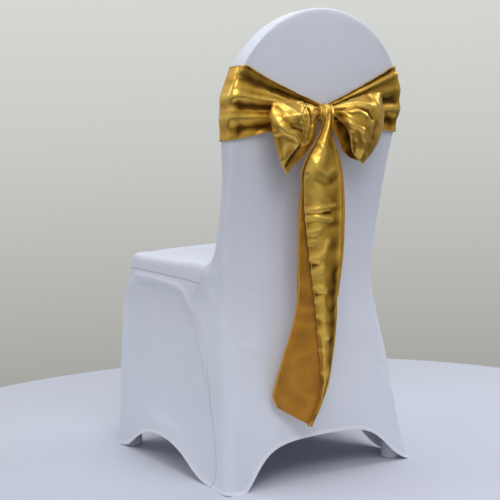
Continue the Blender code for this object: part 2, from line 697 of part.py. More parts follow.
def band_mesh(surface):
    """The sash round the back, from the knot to the knot."""
    half = BAND_BEHIND + BAND_AROUND
    stations = [(1, reach) for reach in half] + [(1, 3.0)] + [(-1, reach) for reach in half[::-1]]
    shares = [column / BAND_COLUMNS for column in range(BAND_COLUMNS + 1)]
    rows = [[band_station(sign, reach, share, surface) for share in shares] for sign, reach in stations]
    return sheet("sash band", rows, SATIN)


def loop_mesh(name, ribs):
    """A loop of the bow: ribs through three points each, blended from one to the next."""
    keys = []
    for rib in ribs:
        top, middle, bottom = (np.array(p) for p in rib)
        row = []
        for j in range(LOOP_COLUMNS + 1):
            v = j / LOOP_COLUMNS
            row.append(top * (1 - v) * (1 - 2 * v) + middle * 4 * v * (1 - v) + bottom * v * (2 * v - 1))
        keys.append(row)
    return sheet(name, flow(keys, LOOP_STEPS), SATIN)


def tail_mesh(name, drops, hang):
    """A hanging tail: back layer, fold and flap, blended down its length, with a slanting end."""
    rows = []
    values = flow([[*drop.heights, *drop[1:]] for drop in drops], TAIL_STEPS)
    for left_height, fold_height, flap_height, turn, left, right, flap, gap in values:
        outward = 1.0 if left > right else -1.0
        row = []
        for share in TAIL_LAYER:
            height = left_height + (fold_height - left_height) * share
            row.append((left + (right - left) * share, 0.0, height))
        for angle in TAIL_BEND:
            place = right - outward * gap * 0.5 * cos(angle)
            row.append((place, outward * gap * 0.5 * (1 + sin(angle)), fold_height))
        for share in TAIL_LAYER:
            height = fold_height + (flap_height - fold_height) * share
            row.append((right + (flap - right) * share, outward * gap, height))
        angle = radians(turn)
        points = []
        for across, depth, height in row:
            x = across * cos(angle) + depth * sin(angle)
            y = hang - across * sin(angle) + depth * cos(angle)
            points.append((x, y, height))
        rows.append(points)
    return sheet(name, rows, SATIN)


def knot_mesh():
    """The knot: a rounded lump with slanting folds."""
    work = bmesh.new()
    bmesh.ops.create_uvsphere(work, u_segments=KNOT_SEGMENTS, v_segments=KNOT_RINGS, radius=1.0)
    for vertex in work.verts:
        wrap = 1.0 + KNOT_WRAP * sin(5.0 * vertex.co.z + 3.0 * vertex.co.x)
        for axis in range(3):
            vertex.co[axis] = KNOT_CENTRE[axis] + KNOT_RADII[axis] * vertex.co[axis] * wrap
    mesh = bpy.data.meshes.new("sash")
    work.to_mesh(mesh)
    work.free()
    return mesh


def make_sash(surface, material, root):
    """The knot with the band, the loops and the tails joined to it as one length of satin."""
    sash = place_piece("sash", knot_mesh(), material, root)
    parts = [
        band_mesh(surface),
        loop_mesh("left loop", LEFT_LOOP),
        loop_mesh("right loop", RIGHT_LOOP),
        tail_mesh("near tail", NEAR_TAIL, TAIL_HANG["near"]),
        tail_mesh("far tail", FAR_TAIL, TAIL_HANG["far"]),
    ]
    for mesh in parts:
        helper = place_piece("helper " + mesh.name, mesh, material, root)
        helper.hide_render = True
        helper.display_type = "WIRE"
        join = sash.modifiers.new(mesh.name, "BOOLEAN")
        join.operation = "UNION"
        join.object = helper
    return sash


def surface_tree(cover):
    points = [vertex.co[:] for vertex in cover.vertices]
    return BVHTree.FromPolygons(points, [list(face.vertices) for face in cover.polygons])


def pocket_reach(centre, way, height, above, surface):
    """How far out the pocket's wall stands in one direction, inside the cloth and not past the wall above."""
    start = Vector((centre[0], centre[1], max(height, CLOTH / 2.0)))
    _, normal, _, distance = surface.ray_cast(start, way)
    if distance is None:
        return above
    slope = max(LEAST_SLOPE, abs(way.dot(normal)))
    return min(above, distance - (CLOTH + POCKET_CLEARANCE) / slope)


def pocket_mesh(name, centre, surface):
    """A foot pocket: a cup whose wall lies against the inside of the cover's toe."""
    x, y = centre
    levels = (POCKET_HEIGHT, POCKET_HEIGHT / 2.0, 0.0)
    outer = []
    inner = []
    reaches = [POCKET_REACH] * POCKET_SIDES
    for height in levels:
        for number in range(POCKET_SIDES):
            angle = 2.0 * pi * number / POCKET_SIDES
            way = Vector((cos(angle), sin(angle), 0.0))
            reach = pocket_reach(centre, way, height, reaches[number], surface)
            reaches[number] = reach
            thin = reach - POCKET_WALL
            outer.append((x + way.x * reach, y + way.y * reach, height))
            inner.append((x + way.x * thin, y + way.y * thin, max(height, POCKET_WALL)))
    count = POCKET_SIDES
    offset = len(outer)
    last = (len(levels) - 1) * count
    sole = [last + number for number in range(count)]
    faces = [sole[::-1], [v + offset for v in sole]]
    for number in range(count):
        following = (number + 1) % count
        faces.append([number, following, following + offset, number + offset])
        for level in range(len(levels) - 1):
            here = level * count + number
            there = level * count + following
            faces.append([here, there, there + count, here + count][::-1])
            faces.append([here + offset, there + offset, there + count + offset, here + count + offset])
    mesh = bpy.data.meshes.new(name)
    mesh.from_pydata(outer + inner, [], faces)
    return mesh


def place_piece(name, mesh, material, root):
    """Links a piece to the scene and stands it under the root."""
    mesh.materials.clear()
    mesh.materials.append(material)
    mesh.shade_smooth()
    mesh.set_sharp_from_angle(angle=radians(SHARP_ANGLE))
    piece = bpy.data.objects.new(name, mesh)
    bpy.context.scene.collection.objects.link(piece)
    piece.parent = root
    return piece


def main():
    clear_scene()
    white = make_material("white stretch cloth", WHITE, 0.75)
    gold = make_material("gold satin", GOLD, 0.35)
    root = bpy.data.objects.new("chair_cover_with_sash", None)
    root.location = -ORIGIN
    bpy.context.scene.collection.objects.link(root)
    cover = smooth_cover(build_cage(), COVER_LEVEL)
    surface = surface_tree(cover)
    panels = ((BACK_PANEL, "cover_back_panel"), (FRONT_PANEL, "cover_front_panel"), (SKIRT, "cover_skirt"))
    for panel, name in panels:
        place_piece(name, panel_mesh(cover, panel, name), white, root)
    for end, centre in POCKET_PLACES.items():
        for sign, side in ((1, "left"), (-1, "right")):
            name = f"foot_pocket_{end}_{side}"
            middle = (sign * centre[0], centre[1])
            place_piece(name, pocket_mesh(name, middle, surface), white, root)
    make_sash(surface, gold, root)


main()
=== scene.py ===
"""A white stretch chair cover with its gold satin sash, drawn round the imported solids.

The tables are metres from the floor under the cover, as in the part's source. Each
finished mesh is then moved so that the origin is under the crest of the back.
+X is the sitter's left, and the sitter faces -Y, so the bow is on the +Y side.
"""

from collections import namedtuple
from math import cos, pi, radians, sin

import bmesh
import bpy
import numpy as np
from mathutils import Matrix, Vector
from mathutils.bvhtree import BVHTree
from mathutils.noise import noise

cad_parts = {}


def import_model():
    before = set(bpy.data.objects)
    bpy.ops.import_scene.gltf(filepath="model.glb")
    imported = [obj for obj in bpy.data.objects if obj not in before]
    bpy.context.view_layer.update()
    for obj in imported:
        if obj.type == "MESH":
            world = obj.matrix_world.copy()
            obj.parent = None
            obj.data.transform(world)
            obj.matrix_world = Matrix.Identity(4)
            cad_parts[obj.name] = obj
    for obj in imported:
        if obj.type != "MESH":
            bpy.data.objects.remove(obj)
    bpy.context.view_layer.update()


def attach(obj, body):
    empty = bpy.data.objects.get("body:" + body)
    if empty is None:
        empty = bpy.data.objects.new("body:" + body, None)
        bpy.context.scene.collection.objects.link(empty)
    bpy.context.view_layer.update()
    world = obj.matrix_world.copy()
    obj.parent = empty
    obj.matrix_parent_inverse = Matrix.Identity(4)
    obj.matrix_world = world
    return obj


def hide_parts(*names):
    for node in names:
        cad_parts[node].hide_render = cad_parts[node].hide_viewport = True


# The cover's form, as in the part's source
SPRING_HEIGHT = 0.757
DOME_RISE = 0.1955
BACK_LEAN = 0.117
REAR_ARCH = {1: 0.178, -1: 0.196}
FRONT_ARCH = 0.182
ARCH_POWER = 3.5
ARCH_ROOT = 1.3
HEM_LIFT = 0.031
SIDE_BULGE = 0.6
SEAT_CROWN = 0.010
SEAT_CROWN_AT_FRONT = 0.35
PAD_CROWN = 0.010
SEAT_FILLET = 0.004
DOME_CROWN = {"rear": 0.004, "middle": 0.0, "face": -PAD_CROWN}
RIM_SWELL = 0.002
RIM_CREASE = 0.35
RIDGE_CREASE = 0.30
FIT_ROUNDS = 8
COVER_LEVEL = 4
ORIGIN = Vector((0.0, 0.0725, 0.9525))

# Thickness of the cloths, and how far the sash stands off the cover
KNIT = 0.0010
SATIN = 0.0006
SASH_LIFT = 0.0016

# Hems and seams of the cover
HEM_WIDTH = 0.0095
HEM_RAISE = 0.0005
SEAM_DIP = 0.0003
# Distance from the edge, and height over the cloth
HEM_PROFILE = ((0.0, 0.0), (0.0010, HEM_RAISE), (HEM_WIDTH - 0.0012, HEM_RAISE), (HEM_WIDTH, -0.0003),
               (HEM_WIDTH + 0.0012, 0.0))
SEAM_PROFILE = ((0.0, 0.0), (0.0013, 0.0001))
# A profile's points stay within this share of the cloth between two rows of the cage
BORDER_MOST = 0.8
# How many points are measured at a time, which keeps the arrays small
BLOCK = 2000
# The rear seam shows up to this height on the leg, and from this height on the rim
LEG_SEAM_TOP = 0.24
RIM_SEAM_FOOT = 0.50

# Foot pockets
POCKET_PLACES = {"rear": (0.2045, 0.026), "front": (0.1955, -0.419)}
POCKET_HEIGHT = 0.037
POCKET_REACH = 0.0215
POCKET_SIDES = 40
POCKET_RINGS = 9
POCKET_FLOOR = 0.0008
POCKET_CLEARANCE = 0.0024
LEAST_SLOPE = 0.35
# The lowest height from which the way to the cover is measured
LEAST_RAY_HEIGHT = 0.001

# The sash, with the flat length of each stretch of it and how that stretch is held
SASH_WIDTH = 0.152
Stretch = namedtuple("Stretch", "length held")

# Fine creases of the satin: their height, broad facets, narrow lines, and the puckers by the hems
CRUMPLE = 0.0010
FACET_SCALE = 26.0
FACET_SHARE = 2.2
FACET_LEVEL = 0.4
CRUMPLE_SCALE = 75.0
CRUMPLE_SHARE = 0.4
LOOP_LINING = 2.2
LINING_FROM = 0.5
PUCKER_SCALE = 120.0
PUCKER_FINE_SCALE = 2.1
PUCKER_SHARE = 1.4
PUCKER_REACH = 0.0045
CRUMPLE_SEED = 9.0
PUCKER_SEEDS = (3.0, 5.0)
SEED_STEP = 4.0

# The knot: its size, how far it is open at the sides, and the creases that run over it
KNOT_CENTRE = (0.002, 0.100, 0.750)
KNOT_RADII = (0.0195, 0.0150, 0.0190)
KNOT_STEPS, KNOT_COLUMNS = 72, 40
KNOT_OPEN = 0.93
KNOT_WAIST = 0.7
KNOT_CREASE = 0.10
KNOT_WAVE, KNOT_TWIST = 11.0, 1.3
KNOT_FINE_WAVE, KNOT_FINE_SHARE = 19.0, 0.6

# The band: heights of its hems at the corners, the front and the knot, and its way round the back
BAND_SIDES = {1: (0.706, 0.848), -1: (0.705, 0.838)}
BAND_FRONT = (0.700, 0.846)
BAND_KNOT = (0.737, 0.766)
BAND_TUCK = 0.006
BAND_START = 0.004
CORNER_INSET = 0.014
CORNER_REACH = 0.020
CORNER_SWELL = 1.25
FRONT_STANDOFF = 0.016
FRONT_FADE = 1.2
FOLD_DEPTH = 0.0034
# The pleats deepen towards the knot, start from a lower height there, and flatten towards the front
GATHER_DEPTH = 0.0016
GATHER_RATE = 5.0
GATHER_START = 0.4
FLATTEN_RATE = 0.9
FLATTEST = 0.2
EASE_ROWS, EASE_ROUNDS = 9, 14
# How much nearer to the cover than the sheet's own lift its fine creases may come
CREASE_ALLOWANCE = 0.0004

# The tails: where they hang, how the flap swells, and where painted shade darkens the near flap towards its
# fold, standing in for its turning away from the light
TAIL_HANG = {"near": 0.112, "far": 0.100}
FLAP_SWELL = 1.5
FLAP_PEAK = 1.5
TAIL_BACK_COLUMNS, TAIL_BEND_COLUMNS, TAIL_FLAP_COLUMNS = 29, 11, 35
PAINTED_FLAP_SHADE_HEIGHT = 0.50
PAINTED_FLAP_SHADE_RISE = 0.06
PAINTED_FLAP_SHADE_FROM = 0.30
PAINTED_FLAP_SHADE_SPAN = 0.25
PAINTED_FLAP_SHADE_DEPTH = 0.0007

# Painted shade and highlight of the satin's folds: rounds of averaging that give the cloth around a point,
# the depth that has the full painted colour, and how much painted shade the hollows take and how much painted
# highlight the ridges take
HOLLOW_ROUNDS = 40
PAINTED_SHADE_FULL_DEPTH = 0.0013
PAINTED_HOLLOW_SHADE = 0.88
PAINTED_RIDGE_HIGHLIGHT = 0.7

# Stitches: spacing, length, thickness in metres, and how far they slant
OVERLOCK = {"Spacing": 0.0022, "Length": 0.0036, "Thickness": 0.0007, "Slant": 1.1}
HEM_STITCH = {"Spacing": 0.0036, "Length": 0.0029, "Thickness": 0.0005, "Slant": 0.0}
HEM_STITCH_AT = 0.0078
OVERLOCK_INSET = 0.0013
# How far over the sheet the overlocking's line lies, as a share of the satin's thickness
OVERLOCK_SIT = 0.4

# The camera stands where the photograph was taken from
CAMERA_PLACE = (1.5339, 2.2466, 0.8066)
CAMERA_YAW = -2.131
CAMERA_PITCH = -0.1227
CAMERA_ROLL = -0.0305
CAMERA_LENS = 95.28

# Colour of the room, by the height of a direction from -1 straight down to 1 straight up
ROOM_COLOURS = (
    (-0.60, "#3A3A39"), (-0.34, "#5E5E5C"), (-0.21, "#A8A8A3"), (-0.05, "#C8C9C6"),
    (0.07, "#D6D8D3"), (0.30, "#B4B5B3"), (0.95, "#C4C6C8"),
)
LIGHT_COLOUR = (0.94, 0.96, 1.0)
# To the right of the camera the room is darker. The cosine of the angle to that way is start where
# the darkness begins and end where it is full, and most is how much of the light it takes.
DARK_WAY = (-0.90, 0.42, -0.10)
DARK_START, DARK_END, DARK_MOST = 0.5, 0.95, 0.5
Light = namedtuple("Light", "name width power place target")
LIGHTS = (
    Light("overhead softbox", 1.7, 6.0, (0.0, 0.0, 1.9), (0.0, 0.0, -0.3)),
    Light("low overhead softbox", 0.8, 4.5, (0.0, -0.1, 1.0), (0.0, -0.1, -0.3)),
    Light("softbox by the bow", 0.8, 9.5, (0.5, 1.25, 0.75), (0.0, 0.05, -0.05)),
    Light("softbox in front", 1.0, 8.5, (1.9, -1.9, 1.0), (0.0, -0.1, -0.3)),
    Light("softbox to the right", 1.0, 15.0, (-2.2, 0.3, 1.1), (0.0, 0.0, -0.4)),
)

KNIT_COLOURS = {"light": "#E1E4F0", "shade": "#D9DCE9", "hem": "#E9EBF5", "seam": "#C6C9D6"}
# In both satin tables, "ridge" is a painted highlight colour and "hollow" is a painted shade colour for the
# folds
SATIN_COLOURS = {
    "light": "#E4B146", "shade": "#BF8C2E", "thread": "#DDB765", "ridge": "#F0CB62", "hollow": "#4E2E04",
}
REVERSE_COLOURS = {
    "light": "#C4861F", "shade": "#A06A10", "thread": "#CB9A3C", "ridge": "#D09A30", "hollow": "#744606",
}
# The satin's two sides; side is 1 where the sheet's own normals point out of it, and -1 on the back
Finish = namedtuple("Finish", "colours roughness metallic anisotropy side")
SATIN_FACE = Finish(SATIN_COLOURS, 0.34, 0.80, 0.5, 1)
SATIN_BACK = Finish(REVERSE_COLOURS, 0.50, 0.30, 0.3, -1)
# Sockets of a node that mixes two colours
FIRST_COLOUR, SECOND_COLOUR, MIXED_COLOUR = 6, 7, 2

# Sizes of the patterns on the cloths, in metres: patches, ripples and grain of the knit, and
# creases and streaks of the satin
PATCH_SIZE = 0.143
RIPPLE_SIZE = 0.0625
GRAIN_SIZE = 0.00111
CREASE_SIZE = 0.0263
STREAK_LENGTH, STREAK_WIDTH = 0.0833, 0.01667
# The knit's wales are 0.4 mm apart and the satin's floats 0.1 mm, too fine to show, so both are
# drawn at these wider spacings
WALE_SPACING = 0.003418
FLOAT_SPACING = 0.001571

FLOOR_RADIUS = 1.05
FLOOR_CENTRE = (0.0, -0.15, 0.0)

Rib = namedtuple("Rib", "top high middle low bottom")
Drop = namedtuple("Drop", "heights turn left right flap gap")
Stroke = namedtuple("Stroke", "height width line")

# Soft folds of the cover, each along a line of points on the +X side.
# The first two are where the cloth leaves the seat frame and the rear leg.
COVER_FOLDS = (
    Stroke(0.0024, 0.0060, (
        (0.207, -0.034, 0.150), (0.206, -0.049, 0.215), (0.206, -0.062, 0.254), (0.205, -0.083, 0.296),
        (0.205, -0.100, 0.331), (0.205, -0.115, 0.361), (0.204, -0.136, 0.386), (0.204, -0.170, 0.397),
        (0.204, -0.223, 0.400), (0.204, -0.300, 0.402), (0.204, -0.352, 0.399))),
    Stroke(-0.0034, 0.0110, (
        (0.207, -0.056, 0.190), (0.206, -0.078, 0.250), (0.206, -0.100, 0.291), (0.205, -0.118, 0.325),
        (0.205, -0.134, 0.352), (0.204, -0.152, 0.370), (0.204, -0.180, 0.377), (0.204, -0.223, 0.379),
        (0.204, -0.300, 0.382), (0.204, -0.350, 0.379))),
    Stroke(0.0014, 0.0050, ((0.226, -0.006, 0.050), (0.214, -0.018, 0.110), (0.209, -0.036, 0.180))),
    Stroke(0.0036, 0.0160, ((0.203, -0.056, 0.398), (0.200, -0.050, 0.430))),
    Stroke(-0.0020, 0.0060, ((0.194, -0.040, 0.400), (0.192, -0.031, 0.432), (0.191, -0.020, 0.475))),
    Stroke(-0.0010, 0.0060, ((0.190, 0.000, 0.430), (0.150, 0.008, 0.400), (0.090, 0.015, 0.385))),
    Stroke(0.0010, 0.0070, ((0.195, -0.008, 0.330), (0.160, 0.010, 0.290), (0.110, 0.020, 0.270))),
    Stroke(-0.0012, 0.0080, ((0.204, 0.030, 0.160), (0.190, 0.030, 0.200), (0.150, 0.035, 0.235))),
)

# Cross lines of each loop, from the knot out along the front layer, round the end and back behind
LEFT_LOOP = (
    Rib((0.008, 0.104, 0.757), (0.009, 0.106, 0.754), (0.010, 0.107, 0.752),
        (0.010, 0.107, 0.749), (0.010, 0.106, 0.746)),
    Rib((0.023, 0.106, 0.761), (0.026, 0.108, 0.757), (0.029, 0.110, 0.752),
        (0.028, 0.109, 0.746), (0.023, 0.106, 0.740)),
    Rib((0.048, 0.110, 0.770), (0.049, 0.119, 0.758), (0.050, 0.122, 0.743),
        (0.043, 0.117, 0.725), (0.029, 0.107, 0.714)),
    Rib((0.070, 0.112, 0.775), (0.081, 0.130, 0.759), (0.082, 0.138, 0.738),
        (0.069, 0.130, 0.713), (0.040, 0.109, 0.692)),
    Rib((0.091, 0.112, 0.777), (0.106, 0.136, 0.758), (0.107, 0.143, 0.733),
        (0.094, 0.135, 0.702), (0.061, 0.110, 0.671)),
    Rib((0.114, 0.112, 0.776), (0.129, 0.133, 0.755), (0.127, 0.139, 0.725),
        (0.114, 0.132, 0.690), (0.086, 0.112, 0.655)),
    Rib((0.130, 0.110, 0.775), (0.141, 0.122, 0.750), (0.138, 0.126, 0.712),
        (0.125, 0.122, 0.671), (0.103, 0.113, 0.640)),
    Rib((0.130, 0.103, 0.773), (0.137, 0.109, 0.748), (0.133, 0.111, 0.709),
        (0.121, 0.111, 0.667), (0.105, 0.110, 0.636)),
    Rib((0.120, 0.097, 0.772), (0.126, 0.098, 0.747), (0.121, 0.099, 0.712),
        (0.110, 0.101, 0.676), (0.094, 0.106, 0.643)),
    Rib((0.085, 0.096, 0.769), (0.089, 0.094, 0.748), (0.086, 0.093, 0.722),
        (0.078, 0.094, 0.694), (0.066, 0.097, 0.668)),
    Rib((0.045, 0.098, 0.763), (0.047, 0.095, 0.751), (0.045, 0.095, 0.738),
        (0.042, 0.095, 0.722), (0.036, 0.096, 0.706)),
    Rib((0.008, 0.099, 0.756), (0.008, 0.098, 0.754), (0.008, 0.098, 0.752),
        (0.008, 0.098, 0.750), (0.008, 0.098, 0.747)),
)
RIGHT_LOOP = (
    Rib((-0.008, 0.106, 0.762), (-0.009, 0.108, 0.758), (-0.011, 0.109, 0.754),
        (-0.012, 0.108, 0.750), (-0.015, 0.106, 0.746)),
    Rib((-0.027, 0.110, 0.768), (-0.023, 0.119, 0.761), (-0.022, 0.120, 0.754),
        (-0.023, 0.117, 0.746), (-0.025, 0.112, 0.738)),
    Rib((-0.058, 0.112, 0.778), (-0.045, 0.132, 0.763), (-0.036, 0.137, 0.745),
        (-0.032, 0.133, 0.732), (-0.031, 0.124, 0.722)),
    Rib((-0.090, 0.113, 0.784), (-0.074, 0.136, 0.762), (-0.062, 0.142, 0.734),
        (-0.049, 0.138, 0.711), (-0.037, 0.130, 0.698)),
    Rib((-0.119, 0.112, 0.788), (-0.108, 0.130, 0.759), (-0.093, 0.136, 0.721),
        (-0.077, 0.132, 0.688), (-0.041, 0.128, 0.676)),
    Rib((-0.131, 0.108, 0.787), (-0.130, 0.116, 0.754), (-0.118, 0.122, 0.714),
        (-0.098, 0.122, 0.675), (-0.060, 0.120, 0.657)),
    Rib((-0.135, 0.101, 0.784), (-0.143, 0.103, 0.749), (-0.135, 0.107, 0.711),
        (-0.109, 0.111, 0.672), (-0.079, 0.113, 0.645)),
    Rib((-0.127, 0.096, 0.782), (-0.134, 0.099, 0.750), (-0.127, 0.099, 0.714),
        (-0.104, 0.101, 0.678), (-0.076, 0.105, 0.650)),
    Rib((-0.092, 0.095, 0.777), (-0.098, 0.094, 0.752), (-0.092, 0.094, 0.722),
        (-0.074, 0.094, 0.692), (-0.047, 0.096, 0.666)),
    Rib((-0.048, 0.097, 0.768), (-0.050, 0.094, 0.754), (-0.046, 0.094, 0.739),
        (-0.037, 0.094, 0.722), (-0.024, 0.096, 0.708)),
    Rib((-0.004, 0.099, 0.756), (-0.004, 0.098, 0.754), (-0.004, 0.098, 0.752),
        (-0.004, 0.098, 0.750), (-0.004, 0.098, 0.747)),
)

# Ridges and hollows of the crumpled satin: height, half width, and a line of distances across and up
LEFT_STROKES = (
    Stroke(0.0030, 0.0045, (
        (0.147, 0.773), (0.142, 0.754), (0.136, 0.734), (0.123, 0.719), (0.102, 0.710), (0.091, 0.700),
        (0.094, 0.685), (0.110, 0.668), (0.120, 0.650))),
    Stroke(0.0042, 0.0085, ((0.098, 0.750), (0.089, 0.744))),
    Stroke(-0.0028, 0.0055, ((0.130, 0.767), (0.124, 0.744), (0.109, 0.726), (0.083, 0.719))),
    Stroke(0.0016, 0.0035, ((0.094, 0.748), (0.070, 0.766))),
    Stroke(0.0016, 0.0035, ((0.094, 0.748), (0.112, 0.770))),
    Stroke(0.0018, 0.0035, ((0.094, 0.748), (0.078, 0.728), (0.072, 0.713))),
    Stroke(0.0026, 0.0035, ((0.077, 0.772), (0.065, 0.762), (0.061, 0.739), (0.067, 0.720))),
    Stroke(-0.0050, 0.0040, ((0.058, 0.758), (0.054, 0.743), (0.055, 0.731))),
    Stroke(-0.0030, 0.0060, ((0.134, 0.708), (0.126, 0.684), (0.122, 0.665))),
    Stroke(-0.0026, 0.0055, ((0.084, 0.690), (0.099, 0.670), (0.109, 0.653))),
    Stroke(0.0032, 0.0030, ((0.050, 0.725), (0.053, 0.710), (0.058, 0.696), (0.070, 0.693))),
)
RIGHT_STROKES = (
    Stroke(0.0036, 0.0045, ((-0.001, 0.747), (-0.023, 0.738), (-0.044, 0.723), (-0.061, 0.715))),
    Stroke(-0.0034, 0.0035, (
        (-0.008, 0.752), (-0.030, 0.759), (-0.053, 0.762), (-0.077, 0.750), (-0.087, 0.735))),
    Stroke(0.0020, 0.0040, ((-0.013, 0.760), (-0.036, 0.767), (-0.060, 0.770), (-0.085, 0.765))),
    Stroke(0.0020, 0.0035, ((-0.033, 0.751), (-0.055, 0.752), (-0.072, 0.740))),
    Stroke(0.0022, 0.0040, ((-0.100, 0.783), (-0.110, 0.764), (-0.115, 0.740))),
    Stroke(-0.0026, 0.0070, ((-0.090, 0.749), (-0.099, 0.725), (-0.091, 0.697))),
    Stroke(0.0024, 0.0050, ((-0.061, 0.715), (-0.073, 0.690), (-0.068, 0.663))),
    Stroke(-0.0020, 0.0050, ((-0.039, 0.708), (-0.048, 0.684), (-0.053, 0.663))),
    Stroke(0.0014, 0.0025, ((-0.003, 0.744), (-0.022, 0.728), (-0.031, 0.704), (-0.033, 0.676))),
)
TAIL_STROKES = (
    Stroke(0.0024, 0.0040, ((0.075, 0.563), (0.056, 0.561), (0.027, 0.565), (0.001, 0.568))),
    Stroke(0.0024, 0.0038, ((0.076, 0.541), (0.047, 0.547), (0.010, 0.540))),
    Stroke(-0.0018, 0.0030, ((0.071, 0.553), (0.042, 0.554), (0.013, 0.554))),
    Stroke(0.0018, 0.0036, ((0.065, 0.521), (0.050, 0.515), (0.036, 0.522))),
    Stroke(0.0026, 0.0050, ((0.062, 0.462), (0.044, 0.463), (0.028, 0.474), (0.020, 0.498))),
    Stroke(0.0016, 0.0034, ((0.058, 0.492), (0.046, 0.497))),
    Stroke(0.0022, 0.0040, ((0.060, 0.441), (0.044, 0.438), (0.032, 0.443))),
    Stroke(-0.0022, 0.0034, ((0.060, 0.452), (0.042, 0.452))),
    Stroke(0.0024, 0.0042, ((0.055, 0.403), (0.040, 0.405), (0.026, 0.399))),
    Stroke(0.0016, 0.0034, ((0.052, 0.382), (0.040, 0.376))),
    Stroke(-0.0018, 0.0032, ((0.054, 0.392), (0.038, 0.391))),
    Stroke(0.0020, 0.0036, ((0.047, 0.350), (0.032, 0.344))),
    Stroke(0.0022, 0.0036, ((0.046, 0.318), (0.032, 0.312), (0.022, 0.304))),
    Stroke(0.0020, 0.0034, ((0.044, 0.275), (0.031, 0.279))),
    Stroke(0.0020, 0.0034, ((0.043, 0.240), (0.031, 0.230))),
    Stroke(0.0013, 0.0060, ((0.052, 0.668), (0.040, 0.640), (0.020, 0.628), (0.002, 0.640))),
    Stroke(-0.0010, 0.0050, ((0.044, 0.618), (0.026, 0.608), (0.008, 0.614))),
    Stroke(0.0020, 0.0050, ((0.030, 0.690), (0.022, 0.672))),
)

# The long near tail: a ribbon folded over along its right side, so that a flap lies on its front.
# Three heights for the left edge, the fold and the flap's edge; then distances across the tail,
# which turns as it hangs.
NEAR_TAIL = (
    Drop((0.748, 0.748, 0.748), 0, 0.012, -0.006, 0.011, 0.0040),
    Drop((0.725, 0.725, 0.725), 0, 0.019, -0.004, 0.018, 0.0050),
    Drop((0.700, 0.700, 0.700), 2, 0.033, -0.003, 0.031, 0.0060),
    Drop((0.670, 0.670, 0.670), 5, 0.053, -0.008, 0.050, 0.0080),
    Drop((0.640, 0.640, 0.640), 9, 0.065, -0.013, 0.062, 0.0090),
    Drop((0.590, 0.590, 0.590), 15, 0.065, -0.015, 0.062, 0.0095),
    Drop((0.530, 0.530, 0.530), 20, 0.070, -0.014, 0.057, 0.0095),
    Drop((0.455, 0.455, 0.455), 25, 0.071, -0.010, 0.048, 0.0095),
    Drop((0.392, 0.392, 0.392), 25, 0.073, -0.003, 0.043, 0.0090),
    Drop((0.330, 0.330, 0.330), 25, 0.086, 0.000, 0.037, 0.0085),
    Drop((0.270, 0.268, 0.268), 25, 0.106, 0.007, 0.034, 0.0075),
    Drop((0.218, 0.210, 0.210), 25, 0.123, 0.017, 0.031, 0.0065),
    Drop((0.188, 0.162, 0.162), 25, 0.130, 0.034, 0.042, 0.0055),
    Drop((0.163, 0.121, 0.124), 25, 0.121, 0.053, 0.061, 0.0050),
)

# The short far tail, folded the other way, so that its flap lies behind it
FAR_TAIL = (
    Drop((0.747, 0.747, 0.747), 0, -0.006, 0.008, -0.004, 0.0030),
    Drop((0.722, 0.722, 0.722), 0, -0.012, 0.012, -0.010, 0.0035),
    Drop((0.695, 0.695, 0.695), 2, -0.019, 0.017, -0.014, 0.0045),
    Drop((0.665, 0.665, 0.665), 6, -0.028, 0.035, -0.020, 0.0060),
    Drop((0.625, 0.625, 0.625), 10, -0.035, 0.050, -0.024, 0.0070),
    Drop((0.560, 0.560, 0.560), 18, -0.035, 0.057, -0.024, 0.0075),
    Drop((0.480, 0.478, 0.478), 24, -0.030, 0.060, -0.020, 0.0075),
    Drop((0.425, 0.415, 0.420), 25, -0.023, 0.063, -0.014, 0.0070),
    Drop((0.382, 0.350, 0.372), 25, -0.016, 0.067, -0.008, 0.0060),
)

# Ridges and hollows across the band on each side: share of its width from the lower hem, and height
BAND_PLEATS = {
    1: (
        (-0.01, 0.3), (0.14, -0.8), (0.29, 0.5), (0.38, -0.4), (0.46, -1.0),
        (0.60, 1.0), (0.70, 0.2), (0.84, -1.0), (0.95, -0.3), (1.01, 0.3),
    ),
    -1: (
        (-0.01, 0.5), (0.17, -0.6), (0.34, 0.8), (0.50, -0.9), (0.68, 0.6),
        (0.80, 0.4), (0.88, 0.9), (0.95, -0.1), (1.01, 0.2),
    ),
}

# How many stretches of mesh each sheet of the sash has
BAND_BEHIND, BAND_AROUND, BAND_AHEAD = 90, 46, 50
BAND_COLUMNS = 72
BAND_FRONT_CREASE = 0.22
LOOP_STEPS_ACROSS = 22
LOOP_STEPS_ALONG = 14
LOOP_FRONT_RIBS = {"left_loop": 7, "right_loop": 6}
# The strokes fade out where a loop turns to its back layer
STROKE_FADE, STROKE_END = 8.0, 1.05
TAIL_STEPS = 18

Spot = namedtuple("Spot", "name centre corner middle crease")
Side = namedtuple("Side", "name height front_x front_y front_height dip")

